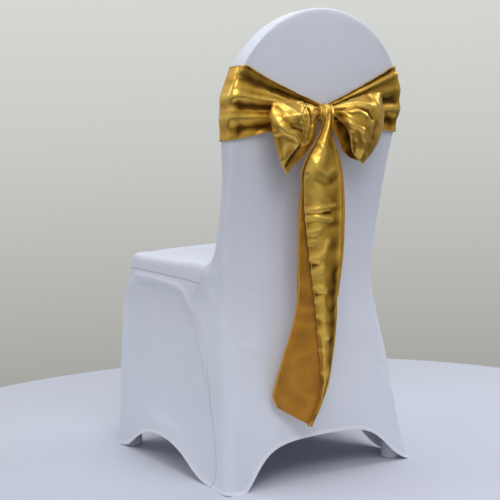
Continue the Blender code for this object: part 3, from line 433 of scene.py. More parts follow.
# The rear face, the rim and the rear leg, from the hem up to where the top starts to round
BACK_ROWS = (
    Spot("hem", (0, 0.052, 0.087), (0.2225, 0.064, 0.0), (0.2345, 0.036, 0.0), (0.227, -0.018, 0.0)),
    Spot("pocket", (0, 0.05, 0.118), (0.2145, 0.054, 0.037), (0.2265, 0.028, 0.037), (0.2185, -0.005, 0.037)),
    Spot("shin", (0, 0.044, 0.165), (0.2065, 0.038, 0.13), (0.2125, 0.006, 0.13), (0.209, -0.026, 0.13)),
    Spot("calf", (0, 0.031, 0.23), (0.2015, 0.02, 0.22), (0.207, -0.012, 0.22), (0.2065, -0.045, 0.22)),
    Spot("knee", (0, 0.023, 0.305), (0.1945, 0.003, 0.3), (0.2005, -0.027, 0.3), (0.205, -0.066, 0.3)),
    Spot("under", (0, 0.02, 0.345), (0.189, -0.004, 0.34), (0.1975, -0.036, 0.34), (0.2045, -0.086, 0.337)),
    Spot("ridge", (0, 0.0185, 0.38), (0.185, -0.006, 0.375), (0.1945, -0.042, 0.375),
         (0.2045, -0.108, 0.367)),
    Spot("seam", (0, 0.0175, 0.414), (0.185, -0.005, 0.413), (0.1915, -0.036, 0.411),
         (0.2028, -0.072, 0.411)),
    Spot("seat", (0, 0.0175, 0.452), (0.187, -0.001, 0.452), (0.19, -0.022, 0.451), (0.197, -0.045, 0.452)),
    Spot("waist", (0, 0.02, 0.505), (0.1885, 0.007, 0.505), (0.1905, -0.008, 0.503), (0.1905, -0.018, 0.503)),
    Spot("lumbar", (0, 0.034, 0.585), (0.191, 0.028, 0.585), (0.1925, 0.015, 0.585), (0.19, 0.003, 0.585)),
    Spot("shoulder", (0, 0.055, 0.67), (0.196, 0.0505, 0.67), (0.198, 0.034, 0.67), (0.1945, 0.0175, 0.67)),
    Spot("spring", (0, 0.0765, 0.757), (0.203, 0.0725, 0.757), (0.205, 0.051, 0.757), (0.201, 0.028, 0.757)),
)

# The skirt's side: height halfway along, the front corner, and how far the cloth is drawn in
SIDE_ROWS = (
    Side("hem", 0.000, 0.2175, -0.441, 0.000, 0.000),
    Side("pocket", 0.037, 0.2168, -0.438, 0.037, 0.001),
    Side("shin", 0.125, 0.2145, -0.432, 0.130, 0.003),
    Side("calf", 0.220, 0.2115, -0.424, 0.220, 0.006),
    Side("knee", 0.305, 0.2085, -0.415, 0.300, 0.0085),
    Side("under", 0.360, 0.2065, -0.408, 0.340, 0.0085),
    Side("ridge", 0.391, 0.2045, -0.394, 0.372, -0.002),
    Side("seam", 0.414, 0.2015, -0.380, 0.413, -0.001),
    Side("seat", 0.444, 0.1970, -0.369, 0.444, -0.002),
)

# The middle of the front, from the hem to the front edge of the seat: distance forward and height
FRONT_MIDDLE = (
    (-0.430, 0.087), (-0.427, 0.118), (-0.420, 0.165), (-0.410, 0.230), (-0.400, 0.305),
    (-0.395, 0.345), (-0.391, 0.380), (-0.388, 0.414), (-0.378, 0.447),
)

# The side hem between the rear foot and the front foot: distance back and height
SIDE_HEM = ((-0.077, 0.012), (-0.150, 0.047), (-0.245, 0.062), (-0.335, 0.043), (-0.402, 0.006))

# Where the side's columns stand, as shares of the way from the rear leg to the front corner
SIDE_SHARES = (0.14, 0.35, 0.57, 0.79, 0.93)

# Where the columns of a face stand, as shares of its half width
FACE_SHARES = (0.0, 0.33, 0.62, 0.84)
FACE_COLUMNS = len(FACE_SHARES)
SIDE_NAMES = [f"side{number}" for number in range(len(SIDE_SHARES))]

# Places of the named rows in the tables above
ROW_NAMES = [spot.name for spot in BACK_ROWS]
SHIN_ROW = ROW_NAMES.index("shin")
RIDGE_ROW = ROW_NAMES.index("ridge")
SEAM_ROW = ROW_NAMES.index("seam")
SEAT_ROW = ROW_NAMES.index("seat")
WAIST_ROW = ROW_NAMES.index("waist")

# The rounded top is a patch of quads on each half
DOME_ROWS = 3
DOME_COLUMNS = FACE_COLUMNS
DOME_NAMES = [f"dome{row}" for row in range(1, DOME_ROWS + 1)]

BACK_PANEL, FRONT_PANEL, SKIRT = 0, 1, 2

# The panels: flat size and area of the cut cloth, and the share of its faces that is kept
Panel = namedtuple("Panel", "number name flat area kept")
PANELS = (
    Panel(BACK_PANEL, "back_panel", (0.60, 1.05), 0.45, 0.90),
    Panel(FRONT_PANEL, "front_panel", (0.50, 1.00), 0.35, 1.0),
    Panel(SKIRT, "skirt", (1.30, 0.45), 0.44, 1.0),
)


def mix(start, end, share):
    return tuple(a + (b - a) * share for a, b in zip(start, end))


def arch(share):
    """Height of an arched hem over its ends, 1 in the middle and 0 at the foot."""
    return max(0.0, 1.0 - abs(share) ** ARCH_POWER) ** (1.0 / ARCH_ROOT)


class Cage:
    """The coarse quads that the smooth cover is made from."""

    def __init__(self):
        self.points = []
        self.faces = []
        self.panels = []
        self.creases = {}
        self.index = {}

    def add(self, key, place):
        if key not in self.index:
            self.index[key] = len(self.points)
            self.points.append(place)
        return self.index[key]

    def quad(self, panel, corners, sign):
        ids = [self.index[key] for key in corners]
        self.faces.append(ids if sign > 0 else ids[::-1])
        self.panels.append(panel)

    def crease(self, first, second, value):
        self.creases[frozenset((self.index[first], self.index[second]))] = value


def side_key(sign, column, row):
    """Points on the middle plane belong to both halves."""
    return (0 if column in ("rear0", "front0", "face0") else sign, column, row)


def rear_point(spot, share, sign):
    """A point across the rear face at one row, from its middle to its corner."""
    _, y, z = mix(spot.centre, spot.corner, share**2)
    x = spot.corner[0] * share
    if spot.name in ("hem", "pocket"):
        lift = spot.corner[2]
        rise = spot.centre[2] - lift
        z = lift + rise * arch(x / REAR_ARCH[sign])
    return (sign * x, y, z)


def add_rear(cage, sign):
    for spot in BACK_ROWS:
        for number, share in enumerate(FACE_SHARES):
            cage.add(side_key(sign, f"rear{number}", spot.name), rear_point(spot, share, sign))
        for column in ("corner", "middle", "crease"):
            x, y, z = getattr(spot, column)
            cage.add(side_key(sign, column, spot.name), (sign * x, y, z))


def add_side(cage, sign):
    """Columns of the side between the rear leg and the front corner."""
    for row, side in zip(BACK_ROWS, SIDE_ROWS):
        start = row.crease
        end = (side.front_x, side.front_y, side.front_height)
        for number, share in enumerate(SIDE_SHARES):
            x, y, z = mix(start, end, share)
            bulge = (4.0 * share * (1.0 - share)) ** SIDE_BULGE
            x -= side.dip * bulge
            z += (side.height - (start[2] + end[2]) / 2.0) * bulge
            if side.name in ("hem", "pocket"):
                hem_y, hem_z = SIDE_HEM[number]
                y = hem_y
                z = hem_z + (HEM_LIFT if side.name == "pocket" else 0.0)
            cage.add(side_key(sign, f"side{number}", side.name), (sign * x, y, z))
        cage.add(side_key(sign, "toe", side.name), (sign * end[0], end[1], end[2]))


def add_front(cage, sign):
    for side, (middle_y, middle_z) in zip(SIDE_ROWS, FRONT_MIDDLE):
        for number, share in enumerate(FACE_SHARES):
            x = side.front_x * share
            y = middle_y + (side.front_y - middle_y) * share**2
            if side.name in ("hem", "pocket"):
                z = side.front_height + (middle_z - side.front_height) * arch(x / FRONT_ARCH)
            else:
                z = middle_z + (side.front_height - middle_z) * share**2
            cage.add(side_key(sign, f"front{number}", side.name), (sign * x, y, z))


def add_seat(cage, sign):
    """Inner points of the seat top, row by row from the back to the front edge."""
    front = SIDE_ROWS[-1].front_y
    back = BACK_ROWS[SEAT_ROW].crease[1]
    for column in SIDE_NAMES:
        edge = cage.points[cage.index[side_key(sign, column, "seat")]]
        along = (edge[1] - front) / (back - front)
        crown = SEAT_CROWN * min(1.0, SEAT_CROWN_AT_FRONT + 2.0 * along)
        bow = (FRONT_MIDDLE[-1][0] - front) * (1.0 - along)
        for number, share in enumerate(FACE_SHARES):
            place = (
                edge[0] * share,
                edge[1] + bow * (1.0 - share**2),
                edge[2] + crown * (1.0 - share**4),
            )
            cage.add(side_key(sign, f"face{number}", f"top {column}"), place)


def add_inner_back(cage, sign):
    """The face of the back that the sitter leans on, up to where the top rounds."""
    for spot in BACK_ROWS[SEAT_ROW:]:
        x_edge, y_edge, z_edge = spot.crease
        at_seat = spot.name == "seat"
        crown = SEAT_FILLET if at_seat else PAD_CROWN
        lift = SEAT_FILLET if at_seat else 0.0
        for number, share in enumerate(FACE_SHARES):
            place = (sign * x_edge * share, y_edge - crown * (1.0 - share**2), z_edge + lift)
            cage.add(side_key(sign, f"face{number}", spot.name), place)


def dome_point(row, column, half_width, rise):
    """A point of the rounded top in its own plane: a patch between the arch and its base."""
    steps = DOME_ROWS + DOME_COLUMNS
    shares = FACE_SHARES + (1.0,)

    def on_arch(step):
        angle = 0.5 * pi * step / steps
        return np.array((half_width * cos(angle), rise * sin(angle)))

    u = column / DOME_COLUMNS
    v = row / DOME_ROWS
    bottom = np.array((half_width * shares[column], 0.0))
    top = on_arch(steps - column)
    left = np.array((0.0, rise * v))
    right = on_arch(row)
    corner = on_arch(DOME_ROWS)
    flat = u * (1 - v) * np.array((half_width, 0.0)) + (1 - u) * v * np.array((0.0, rise)) + u * v * corner
    return (1 - v) * bottom + v * top + (1 - u) * left + u * right - flat


def add_dome(cage, sign):
    spring = BACK_ROWS[-1]
    half = {"rear": spring.corner[0], "middle": spring.middle[0], "face": spring.crease[0]}
    depth = {"rear": spring.corner[1], "middle": spring.middle[1], "face": spring.crease[1]}
    rise = {"rear": DOME_RISE, "middle": DOME_RISE + RIM_SWELL, "face": DOME_RISE - RIM_SWELL}
    edge_column = {"rear": "corner", "middle": "middle", "face": "crease"}
    for layer in ("rear", "middle", "face"):
        for row in range(1, DOME_ROWS + 1):
            for column in range(DOME_COLUMNS + 1):
                on_edge = column == DOME_COLUMNS or row == DOME_ROWS
                if layer == "middle" and not on_edge:
                    continue
                x, z = dome_point(row, column, half[layer], rise[layer])
                share = x / half[layer]
                fade = 1.0 - min(1.0, share**2 + (z / rise[layer]) ** 2)
                y = depth[layer] + BACK_LEAN * z + DOME_CROWN[layer] * fade
                place = (sign * x, y, SPRING_HEIGHT + z)
                name = edge_column[layer] if column == DOME_COLUMNS else f"{layer}{column}"
                key = (0 if column == 0 else sign, name, f"dome{row}")
                cage.add(key, place)


def seat_key(sign, column, row):
    """The seat top's points share the side's upper edge and the foot of the inner back."""
    if column < FACE_COLUMNS:
        return side_key(sign, f"face{column}", row)
    if row == "seat":
        return side_key(sign, "crease", "seat")
    return side_key(sign, row.split()[-1], "seat")


def front_key(sign, column):
    return side_key(sign, "toe" if column == FACE_COLUMNS else f"front{column}", "seat")


def strip_faces(cage, sign, panel, columns, rows):
    """Quads between neighbouring columns and rows."""
    for low, high in zip(rows, rows[1:]):
        for first, second in zip(columns, columns[1:]):
            corners = [(second, low), (first, low), (first, high), (second, high)]
            cage.quad(panel, [side_key(sign, column, row) for column, row in corners], sign)


def rim_faces(cage, sign):
    """The rim over the rounded top, from the rear edge to the front edge."""
    inward = range(FACE_COLUMNS - 1, -1, -1)
    over = [("corner", "middle", "crease")] + [(f"rear{n}", f"middle{n}", f"face{n}") for n in inward]
    for here, there in zip(over, over[1:]):
        for side in (0, 1):
            corners = [here[side], here[side + 1], there[side + 1], there[side]]
            keys = [(0 if name[-1] == "0" else sign, name, DOME_NAMES[-1]) for name in corners]
            cage.quad(BACK_PANEL, keys[::-1], sign)


def seat_faces(cage, sign):
    """The seat top, from the foot of the back to its front edge."""
    rows = ["seat"] + [f"top {name}" for name in SIDE_NAMES]
    for before, row in zip(rows, rows[1:]):
        for number in range(FACE_COLUMNS):
            corners = [(number, before), (number + 1, before), (number + 1, row), (number, row)]
            keys = [seat_key(sign, column, line) for column, line in corners]
            cage.quad(FRONT_PANEL, keys[::-1], sign)
    for number in range(FACE_COLUMNS):
        keys = [seat_key(sign, number, rows[-1]), seat_key(sign, number + 1, rows[-1])]
        keys += [front_key(sign, number + 1), front_key(sign, number)]
        cage.quad(FRONT_PANEL, keys[::-1], sign)


def cover_faces(cage, sign):
    """All quads of one half, wound to face outwards."""
    faces = range(FACE_COLUMNS)
    rear = [f"rear{n}" for n in faces] + ["corner", "middle", "crease"]
    inner = ["crease"] + [f"face{n}" for n in reversed(faces)]
    skirt = ["crease"] + SIDE_NAMES + ["toe"] + [f"front{n}" for n in reversed(faces)]
    top = [ROW_NAMES[-1]] + DOME_NAMES
    strip_faces(cage, sign, BACK_PANEL, rear, ROW_NAMES)
    strip_faces(cage, sign, SKIRT, skirt, ROW_NAMES[:SEAM_ROW + 1])
    strip_faces(cage, sign, FRONT_PANEL, skirt, ROW_NAMES[SEAM_ROW:SEAT_ROW + 1])
    strip_faces(cage, sign, FRONT_PANEL, inner, ROW_NAMES[SEAT_ROW:])
    strip_faces(cage, sign, BACK_PANEL, rear[:FACE_COLUMNS + 1], top)
    strip_faces(cage, sign, BACK_PANEL, rear[FACE_COLUMNS:], top)
    strip_faces(cage, sign, FRONT_PANEL, inner, top)
    rim_faces(cage, sign)
    seat_faces(cage, sign)


def add_creases(cage, sign):
    """Keeps the rim of the back and the ridge over the seat firmer than the rest."""
    names = ROW_NAMES[WAIST_ROW:] + DOME_NAMES
    for column in ("corner", "crease"):
        for low, high in zip(names, names[1:]):
            cage.crease(side_key(sign, column, low), side_key(sign, column, high), RIM_CREASE)
    last = DOME_NAMES[-1]
    for layer, corner in (("rear", "corner"), ("face", "crease")):
        chain = [(sign, corner, last)]
        chain += [(sign, f"{layer}{number}", last) for number in range(FACE_COLUMNS - 1, 0, -1)]
        chain.append((0, f"{layer}0", last))
        for first, second in zip(chain, chain[1:]):
            cage.crease(first, second, RIM_CREASE)
    ridge = ["crease"] + SIDE_NAMES + ["toe"]
    for first, second in zip(ridge, ridge[1:]):
        cage.crease(side_key(sign, first, "ridge"), side_key(sign, second, "ridge"), RIDGE_CREASE)
    leg = ROW_NAMES[SHIN_ROW:RIDGE_ROW + 1]
    for low, high in zip(leg, leg[1:]):
        cage.crease(side_key(sign, "crease", low), side_key(sign, "crease", high), RIDGE_CREASE)


def build_cage():
    cage = Cage()
    for sign in (1, -1):
        add_rear(cage, sign)
        add_side(cage, sign)
        add_front(cage, sign)
        add_inner_back(cage, sign)
        add_seat(cage, sign)
        add_dome(cage, sign)
        cover_faces(cage, sign)
        add_creases(cage, sign)
    return cage


def smooth_cover(cage, level):
    """The smooth cover whose surface passes through the cage's own points."""
    mesh = bpy.data.meshes.new("cover form")
    mesh.from_pydata(cage.points, [], cage.faces)
    mesh.polygons.foreach_set("material_index", cage.panels)
    for _ in PANELS:
        mesh.materials.append(None)
    values = mesh.attributes.new("crease_edge", "FLOAT", "EDGE")
    for edge in mesh.edges:
        values.data[edge.index].value = cage.creases.get(frozenset(edge.vertices), 0.0)
    form = bpy.data.objects.new("cover form", mesh)
    bpy.context.scene.collection.objects.link(form)
    subdivide = form.modifiers.new("smooth", "SUBSURF")
    subdivide.levels = 1
    subdivide.render_levels = 1
    target = np.array(cage.points)
    control = target.copy()
    for _ in range(FIT_ROUNDS):
        mesh.vertices.foreach_set("co", control.ravel())
        mesh.update()
        bpy.context.view_layer.update()
        evaluated = form.evaluated_get(bpy.context.evaluated_depsgraph_get()).data
        reached = np.array([evaluated.vertices[i].co[:] for i in range(len(target))])
        control = control + (target - reached)
    mesh.vertices.foreach_set("co", control.ravel())
    mesh.update()
    subdivide.levels = level
    subdivide.render_levels = level
    bpy.context.view_layer.update()
    graph = bpy.context.evaluated_depsgraph_get()
    result = bpy.data.meshes.new_from_object(form.evaluated_get(graph), depsgraph=graph)
    for vertex in result.vertices:
        vertex.co.z = max(vertex.co.z, 0.0)
    bpy.data.objects.remove(form, do_unlink=True)
    return result


def flow(keys, steps):
    """Values between the keys on a Catmull-Rom curve, with steps to each stretch."""
    keys = np.array(keys, dtype=float)
    result = []
    for i in range(len(keys) - 1):
        before = keys[max(i - 1, 0)]
        after = keys[min(i + 2, len(keys) - 1)]
        start, end = keys[i], keys[i + 1]
        for step in range(steps):
            t = step / steps
            result.append(
                0.5 * (2 * start + (end - before) * t
                       + (2 * before - 5 * start + 4 * end - after) * t**2
                       + (3 * start - before - 3 * end + after) * t**3)
            )
    result.append(keys[-1])
    return np.array(result)


def back_section(height):
    """Half width, rear y and front y of the covered back at a height."""
    if height >= SPRING_HEIGHT:
        up = (height - SPRING_HEIGHT) / DOME_RISE
        lean = BACK_LEAN * (height - SPRING_HEIGHT)
        spring = BACK_ROWS[-1]
        half = spring.middle[0] * max(0.0, 1.0 - up**2) ** 0.5
        return half, spring.corner[1] + lean, spring.crease[1] + lean
    heights = [spot.corner[2] for spot in BACK_ROWS]
    half = np.interp(height, heights, [spot.middle[0] for spot in BACK_ROWS])
    rear = np.interp(height, heights, [spot.corner[1] for spot in BACK_ROWS])
    front = np.interp(height, heights, [spot.crease[1] for spot in BACK_ROWS])
    return half, rear, front


def linear(code):
    """The linear colour of an sRGB hex code."""
    values = []
    for place in (1, 3, 5):
        part = int(code[place:place + 2], 16) / 255.0
        values.append(part / 12.92 if part <= 0.04045 else ((part + 0.055) / 1.055) ** 2.4)
    return (*values, 1.0)


def add_node(tree, kind, inputs=None, **settings):
    """Adds a node. A socket among the inputs is linked, and any other value is set."""
    node = tree.nodes.new(kind)
    for name, value in settings.items():
        setattr(node, name, value)
    for name, value in (inputs or {}).items():
        if isinstance(value, bpy.types.NodeSocket):
            tree.links.new(value, node.inputs[name])
        else:
            node.inputs[name].default_value = value
    return node


def wave_scale(spacing):
    """Scale of a wave texture whose bands lie this far apart along one axis."""
    return pi / (10.0 * spacing)


def start_material(name):
    material = bpy.data.materials.new(name)
    material.use_nodes = True
    tree = material.node_tree
    return material, tree, tree.nodes["Principled BSDF"]


def knit_material():
    """Polyester and elastane warp knit: matt and white, with a faint grain, and doubled at the hems."""
    material, tree, shader = start_material("white stretch knit")
    spot = add_node(tree, "ShaderNodeTexCoord").outputs["Object"]
    patches = add_node(tree, "ShaderNodeTexNoise",
                       {"Vector": spot, "Scale": 1.0 / PATCH_SIZE, "Detail": 3.0, "Roughness": 0.55})
    tint = add_node(tree, "ShaderNodeMix",
                    {"Factor": patches.outputs["Fac"],
                     FIRST_COLOUR: linear(KNIT_COLOURS["shade"]),
                     SECOND_COLOUR: linear(KNIT_COLOURS["light"])},
                    data_type="RGBA")
    # The hem is two layers of cloth, so less shows through it and it looks whiter
    hem = add_node(tree, "ShaderNodeAttribute", attribute_name="hem").outputs["Fac"]
    doubled = add_node(tree, "ShaderNodeMapRange",
                       {"Value": hem, "From Min": HEM_WIDTH - 0.0030, "From Max": HEM_WIDTH,
                        "To Min": 1.0, "To Max": 0.0})
    hemmed = add_node(tree, "ShaderNodeMix",
                      {"Factor": doubled.outputs["Result"],
                       FIRST_COLOUR: tint.outputs[MIXED_COLOUR],
                       SECOND_COLOUR: linear(KNIT_COLOURS["hem"])},
                      data_type="RGBA")
    # Seam allowances inside darken a narrow line along each seam
    seam = add_node(tree, "ShaderNodeAttribute", attribute_name="seam").outputs["Fac"]
    joined = add_node(tree, "ShaderNodeMapRange",
                      {"Value": seam, "From Min": 0.0004, "From Max": 0.0030, "To Min": 1.0, "To Max": 0.0})
    seamed = add_node(tree, "ShaderNodeMix",
                      {"Factor": joined.outputs["Result"],
                       FIRST_COLOUR: hemmed.outputs[MIXED_COLOUR],
                       SECOND_COLOUR: linear(KNIT_COLOURS["seam"])},
                      data_type="RGBA")
    tree.links.new(seamed.outputs[MIXED_COLOUR], shader.inputs["Base Color"])
    # Rows of stitches slant over the stretched cloth. On an upright face slanting bands are the
    # square root of two times as far apart, so their scale is that much higher.
    wales = add_node(tree, "ShaderNodeTexWave",
                     {"Vector": spot, "Scale": 2.0**0.5 * wave_scale(WALE_SPACING), "Distortion": 0.6},
                     wave_type="BANDS", bands_direction="DIAGONAL")
    grain = add_node(tree, "ShaderNodeTexNoise",
                     {"Vector": spot, "Scale": 1.0 / GRAIN_SIZE, "Detail": 2.0})
    relief = add_node(tree, "ShaderNodeMath", {0: wales.outputs["Fac"], 1: grain.outputs["Fac"]},
                      operation="ADD")
    fine = add_node(tree, "ShaderNodeBump",
                    {"Height": relief.outputs[0], "Strength": 0.25, "Distance": 0.0001})
    # Slack in the stretched cloth makes broad, soft ripples
    slack = add_node(tree, "ShaderNodeTexNoise",
                     {"Vector": spot, "Scale": 1.0 / RIPPLE_SIZE, "Detail": 2.0, "Roughness": 0.4})
    soft = add_node(tree, "ShaderNodeBump",
                    {"Height": slack.outputs["Fac"], "Strength": 0.35, "Distance": 0.006,
                     "Normal": fine.outputs["Normal"]})
    tree.links.new(soft.outputs["Normal"], shader.inputs["Normal"])
    shader.inputs["Roughness"].default_value = 0.82
    shader.inputs["Sheen Weight"].default_value = 0.25
    shader.inputs["Sheen Roughness"].default_value = 0.45
    shader.inputs["Specular IOR Level"].default_value = 0.25
    return material


def satin_material(name, finish):
    """Polyester satin. Its long floats give the face a broad metallic gleam, and its back is duller."""
    material, tree, shader = start_material(name)
    colours = finish.colours
    uv = add_node(tree, "ShaderNodeUVMap", uv_map="weave").outputs["UV"]
    stretched = add_node(tree, "ShaderNodeMapping",
                         {"Vector": uv, "Scale": (1.0 / STREAK_LENGTH, 1.0 / STREAK_WIDTH, 1.0)})
    streaks = add_node(tree, "ShaderNodeTexNoise",
                       {"Vector": stretched.outputs["Vector"], "Scale": 1.0, "Detail": 3.0})
    tint = add_node(tree, "ShaderNodeMix",
                    {"Factor": streaks.outputs["Fac"],
                     FIRST_COLOUR: linear(colours["shade"]),
                     SECOND_COLOUR: linear(colours["light"])},
                    data_type="RGBA")
    # Painted shade: the gold is deepened in hollows, where light is lost between their sides, and a painted
    # highlight makes the ridges paler
    colour = tint.outputs[MIXED_COLOUR]
    depth = add_node(tree, "ShaderNodeAttribute", attribute_name="hollow").outputs["Fac"]
    full_depth = finish.side * PAINTED_SHADE_FULL_DEPTH
    for tone, deepest, most in (("ridge", -full_depth, PAINTED_RIDGE_HIGHLIGHT), ("hollow", full_depth, PAINTED_HOLLOW_SHADE)):
        amount = add_node(tree, "ShaderNodeMapRange",
                          {"Value": depth, "From Min": 0.0, "From Max": deepest,
                           "To Min": 0.0, "To Max": most})
        toned = add_node(tree, "ShaderNodeMix",
                         {"Factor": amount.outputs["Result"], FIRST_COLOUR: colour,
                          SECOND_COLOUR: linear(colours[tone])},
                         data_type="RGBA")
        colour = toned.outputs[MIXED_COLOUR]
    # The overlocked hems are covered with thread
    edge = add_node(tree, "ShaderNodeAttribute", attribute_name="edge").outputs["Fac"]
    serged = add_node(tree, "ShaderNodeMapRange",
                      {"Value": edge, "From Min": 0.0016, "From Max": 0.0024, "To Min": 1.0, "To Max": 0.0})
    mixed = add_node(tree, "ShaderNodeMix",
                     {"Factor": serged.outputs["Result"], FIRST_COLOUR: colour,
                      SECOND_COLOUR: linear(colours["thread"])},
                     data_type="RGBA")
    tree.links.new(mixed.outputs[MIXED_COLOUR], shader.inputs["Base Color"])
    # The warp's floats lie side by side along the cloth
    floats = add_node(tree, "ShaderNodeTexWave",
                      {"Vector": uv, "Scale": wave_scale(FLOAT_SPACING), "Distortion": 1.0},
                      wave_type="BANDS", bands_direction="Y")
    fine = add_node(tree, "ShaderNodeBump",
                    {"Height": floats.outputs["Fac"], "Strength": 0.2, "Distance": 0.00008})
    creases = add_node(tree, "ShaderNodeTexNoise",
                       {"Vector": uv, "Scale": 1.0 / CREASE_SIZE, "Detail": 4.0, "Roughness": 0.55})
    soft = add_node(tree, "ShaderNodeBump",
                    {"Height": creases.outputs["Fac"], "Strength": 0.5, "Distance": 0.0015,
                     "Normal": fine.outputs["Normal"]})
    tree.links.new(soft.outputs["Normal"], shader.inputs["Normal"])
    shader.inputs["Metallic"].default_value = finish.metallic
    shader.inputs["Roughness"].default_value = finish.roughness
    shader.inputs["Anisotropic"].default_value = finish.anisotropy
    return material


def plain_material(name, code, roughness):
    material, _, shader = start_material(name)
    shader.inputs["Base Color"].default_value = linear(code)
    shader.inputs["Roughness"].default_value = roughness
    return material


def move_to_packed_frame(mesh):
    """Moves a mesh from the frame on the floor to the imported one."""
    mesh.transform(Matrix.Translation(-ORIGIN))
    mesh.update()


def finish_piece(name, mesh, materials, thickness, inner=0, share=1.0):
    """A cloth mesh with its thickness turned inwards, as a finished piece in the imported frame."""
    mesh.materials.clear()
    for material in materials:
        mesh.materials.append(material)
    work = bpy.data.objects.new(name + "_form", mesh)
    bpy.context.scene.collection.objects.link(work)
    if share < 1.0:
        # Joins the faces of the flattest places, to keep that share of them
        work.modifiers.new("fewer faces", "DECIMATE").ratio = share
    wall = work.modifiers.new("thickness", "SOLIDIFY")
    wall.thickness = thickness
    wall.offset = -1.0
    wall.use_even_offset = False
    wall.material_offset = inner
    wall.material_offset_rim = inner
    bpy.context.view_layer.update()
    graph = bpy.context.evaluated_depsgraph_get()
    solid = bpy.data.meshes.new_from_object(work.evaluated_get(graph), depsgraph=graph)
    bpy.data.objects.remove(work, do_unlink=True)
    solid.name = name
    move_to_packed_frame(solid)
    solid.shade_smooth()
    piece = bpy.data.objects.new(name, solid)
    bpy.context.scene.collection.objects.link(piece)
    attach(piece, "root")
    return piece


def neighbours(mesh):
    """For each point, the points at the other ends of its edges."""
    near = [set() for _ in mesh.vertices]
    for edge in mesh.edges:
        first, second = edge.vertices
        near[first].add(second)
        near[second].add(first)
    return near


def layers_from(near, border, allowed, count):
    """Chains of points that lead away from a border, one edge at a time."""
    chains = {v: [v] for v in border}
    reached = set(border)
    front = {v: v for v in border}
    for _ in range(count):
        following = {}
        for v, root in front.items():
            for w in near[v]:
                if w not in reached and w in allowed:
                    following.setdefault(w, []).append(root)
        reached |= set(following)
        front = {}
        for w, roots in following.items():
            if len(roots) == 1:
                front[w] = roots[0]
                chains[roots[0]].append(w)
    return [chain for chain in chains.values() if len(chain) == count + 1]


def lengths_of(line):
    """Distance of each point of a line from its start, along the line."""
    return np.concatenate([[0.0], np.cumsum(np.linalg.norm(np.diff(line, axis=0), axis=1))])


def spot_along(line, lengths, distance):
    return np.array([np.interp(distance, lengths, line[:, axis]) for axis in range(3)])


def shape_border(points, normals, chains, profile):
    """Slides the points nearest a border to the profile's distances, and lifts them by its heights."""
    moved = points.copy()
    for chain in chains:
        line = points[chain]
        lengths = lengths_of(line)
        whole = lengths[-1]
        first = profile[-1][0]
        rest = len(chain) - len(profile)
        targets = [min(distance, whole * BORDER_MOST) for distance, _ in profile]
        targets += [first + (whole - first) * (k + 1) / rest for k in range(rest)]
        for index, (v, target) in enumerate(zip(chain, targets)):
            lift = profile[index][1] if index < len(profile) else 0.0
            moved[v] = spot_along(line, lengths, target) + normals[v] * lift
    return moved


def border_distance(points, pairs):
    """Distance from each point to the nearest of the edges given as pairs of points."""
    best = np.full(len(points), 1.0)
    starts = np.array([points[a] for a, _ in pairs])
    spans = np.array([points[b] for _, b in pairs]) - starts
    squares = np.maximum((spans**2).sum(axis=1), 1e-12)
    for low in range(0, len(points), BLOCK):
        block = points[low:low + BLOCK, None, :] - starts[None]
        share = np.clip((block * spans[None]).sum(axis=2) / squares[None], 0.0, 1.0)
        away = np.linalg.norm(block - spans[None] * share[..., None], axis=2)
        best[low:low + BLOCK] = away.min(axis=1)
    return best


def fold_cover(points, normals):
    """Raises the cover's soft folds, the same on both sides."""
    near = points.copy()
    near[:, 0] = abs(near[:, 0])
    for fold in COVER_FOLDS:
        away = line_distance(near, fold.line)
        points = points + normals * (fold.height * np.exp(-((away / fold.width) ** 2)))[:, None]
    return points


def panels_met(cover):
    """The panels on both sides of each edge, and the panels that meet at each point."""
    at_edges = {}
    at_points = {}
    for face in cover.polygons:
        for pair in face.edge_keys:
            at_edges.setdefault(pair, []).append(face.material_index)
        for v in face.vertices:
            at_points.setdefault(v, set()).add(face.material_index)
    return at_edges, at_points


def shows(panels, height):
    """Whether a seam between these two panels shows at this height."""
    if panels == {BACK_PANEL, SKIRT}:
        return height < LEG_SEAM_TOP
    if panels == {BACK_PANEL, FRONT_PANEL}:
        return height > RIM_SEAM_FOOT
    return True


def stitch_rails(points, normals, chains, hem_pairs):
    """Where the hem's stitches run: the two ends of each stretch of it, and the normals there."""
    rails = {}
    for chain in chains:
        line = points[chain]
        lengths = lengths_of(line)
        spot = spot_along(line, lengths, HEM_STITCH_AT)
        rails[chain[0]] = (spot + normals[chain[0]] * HEM_RAISE, normals[chain[0]])
    return [
        (np.array([rails[a][0], rails[b][0]]), np.array([rails[a][1], rails[b][1]]))
        for a, b in hem_pairs if a in rails and b in rails
    ]


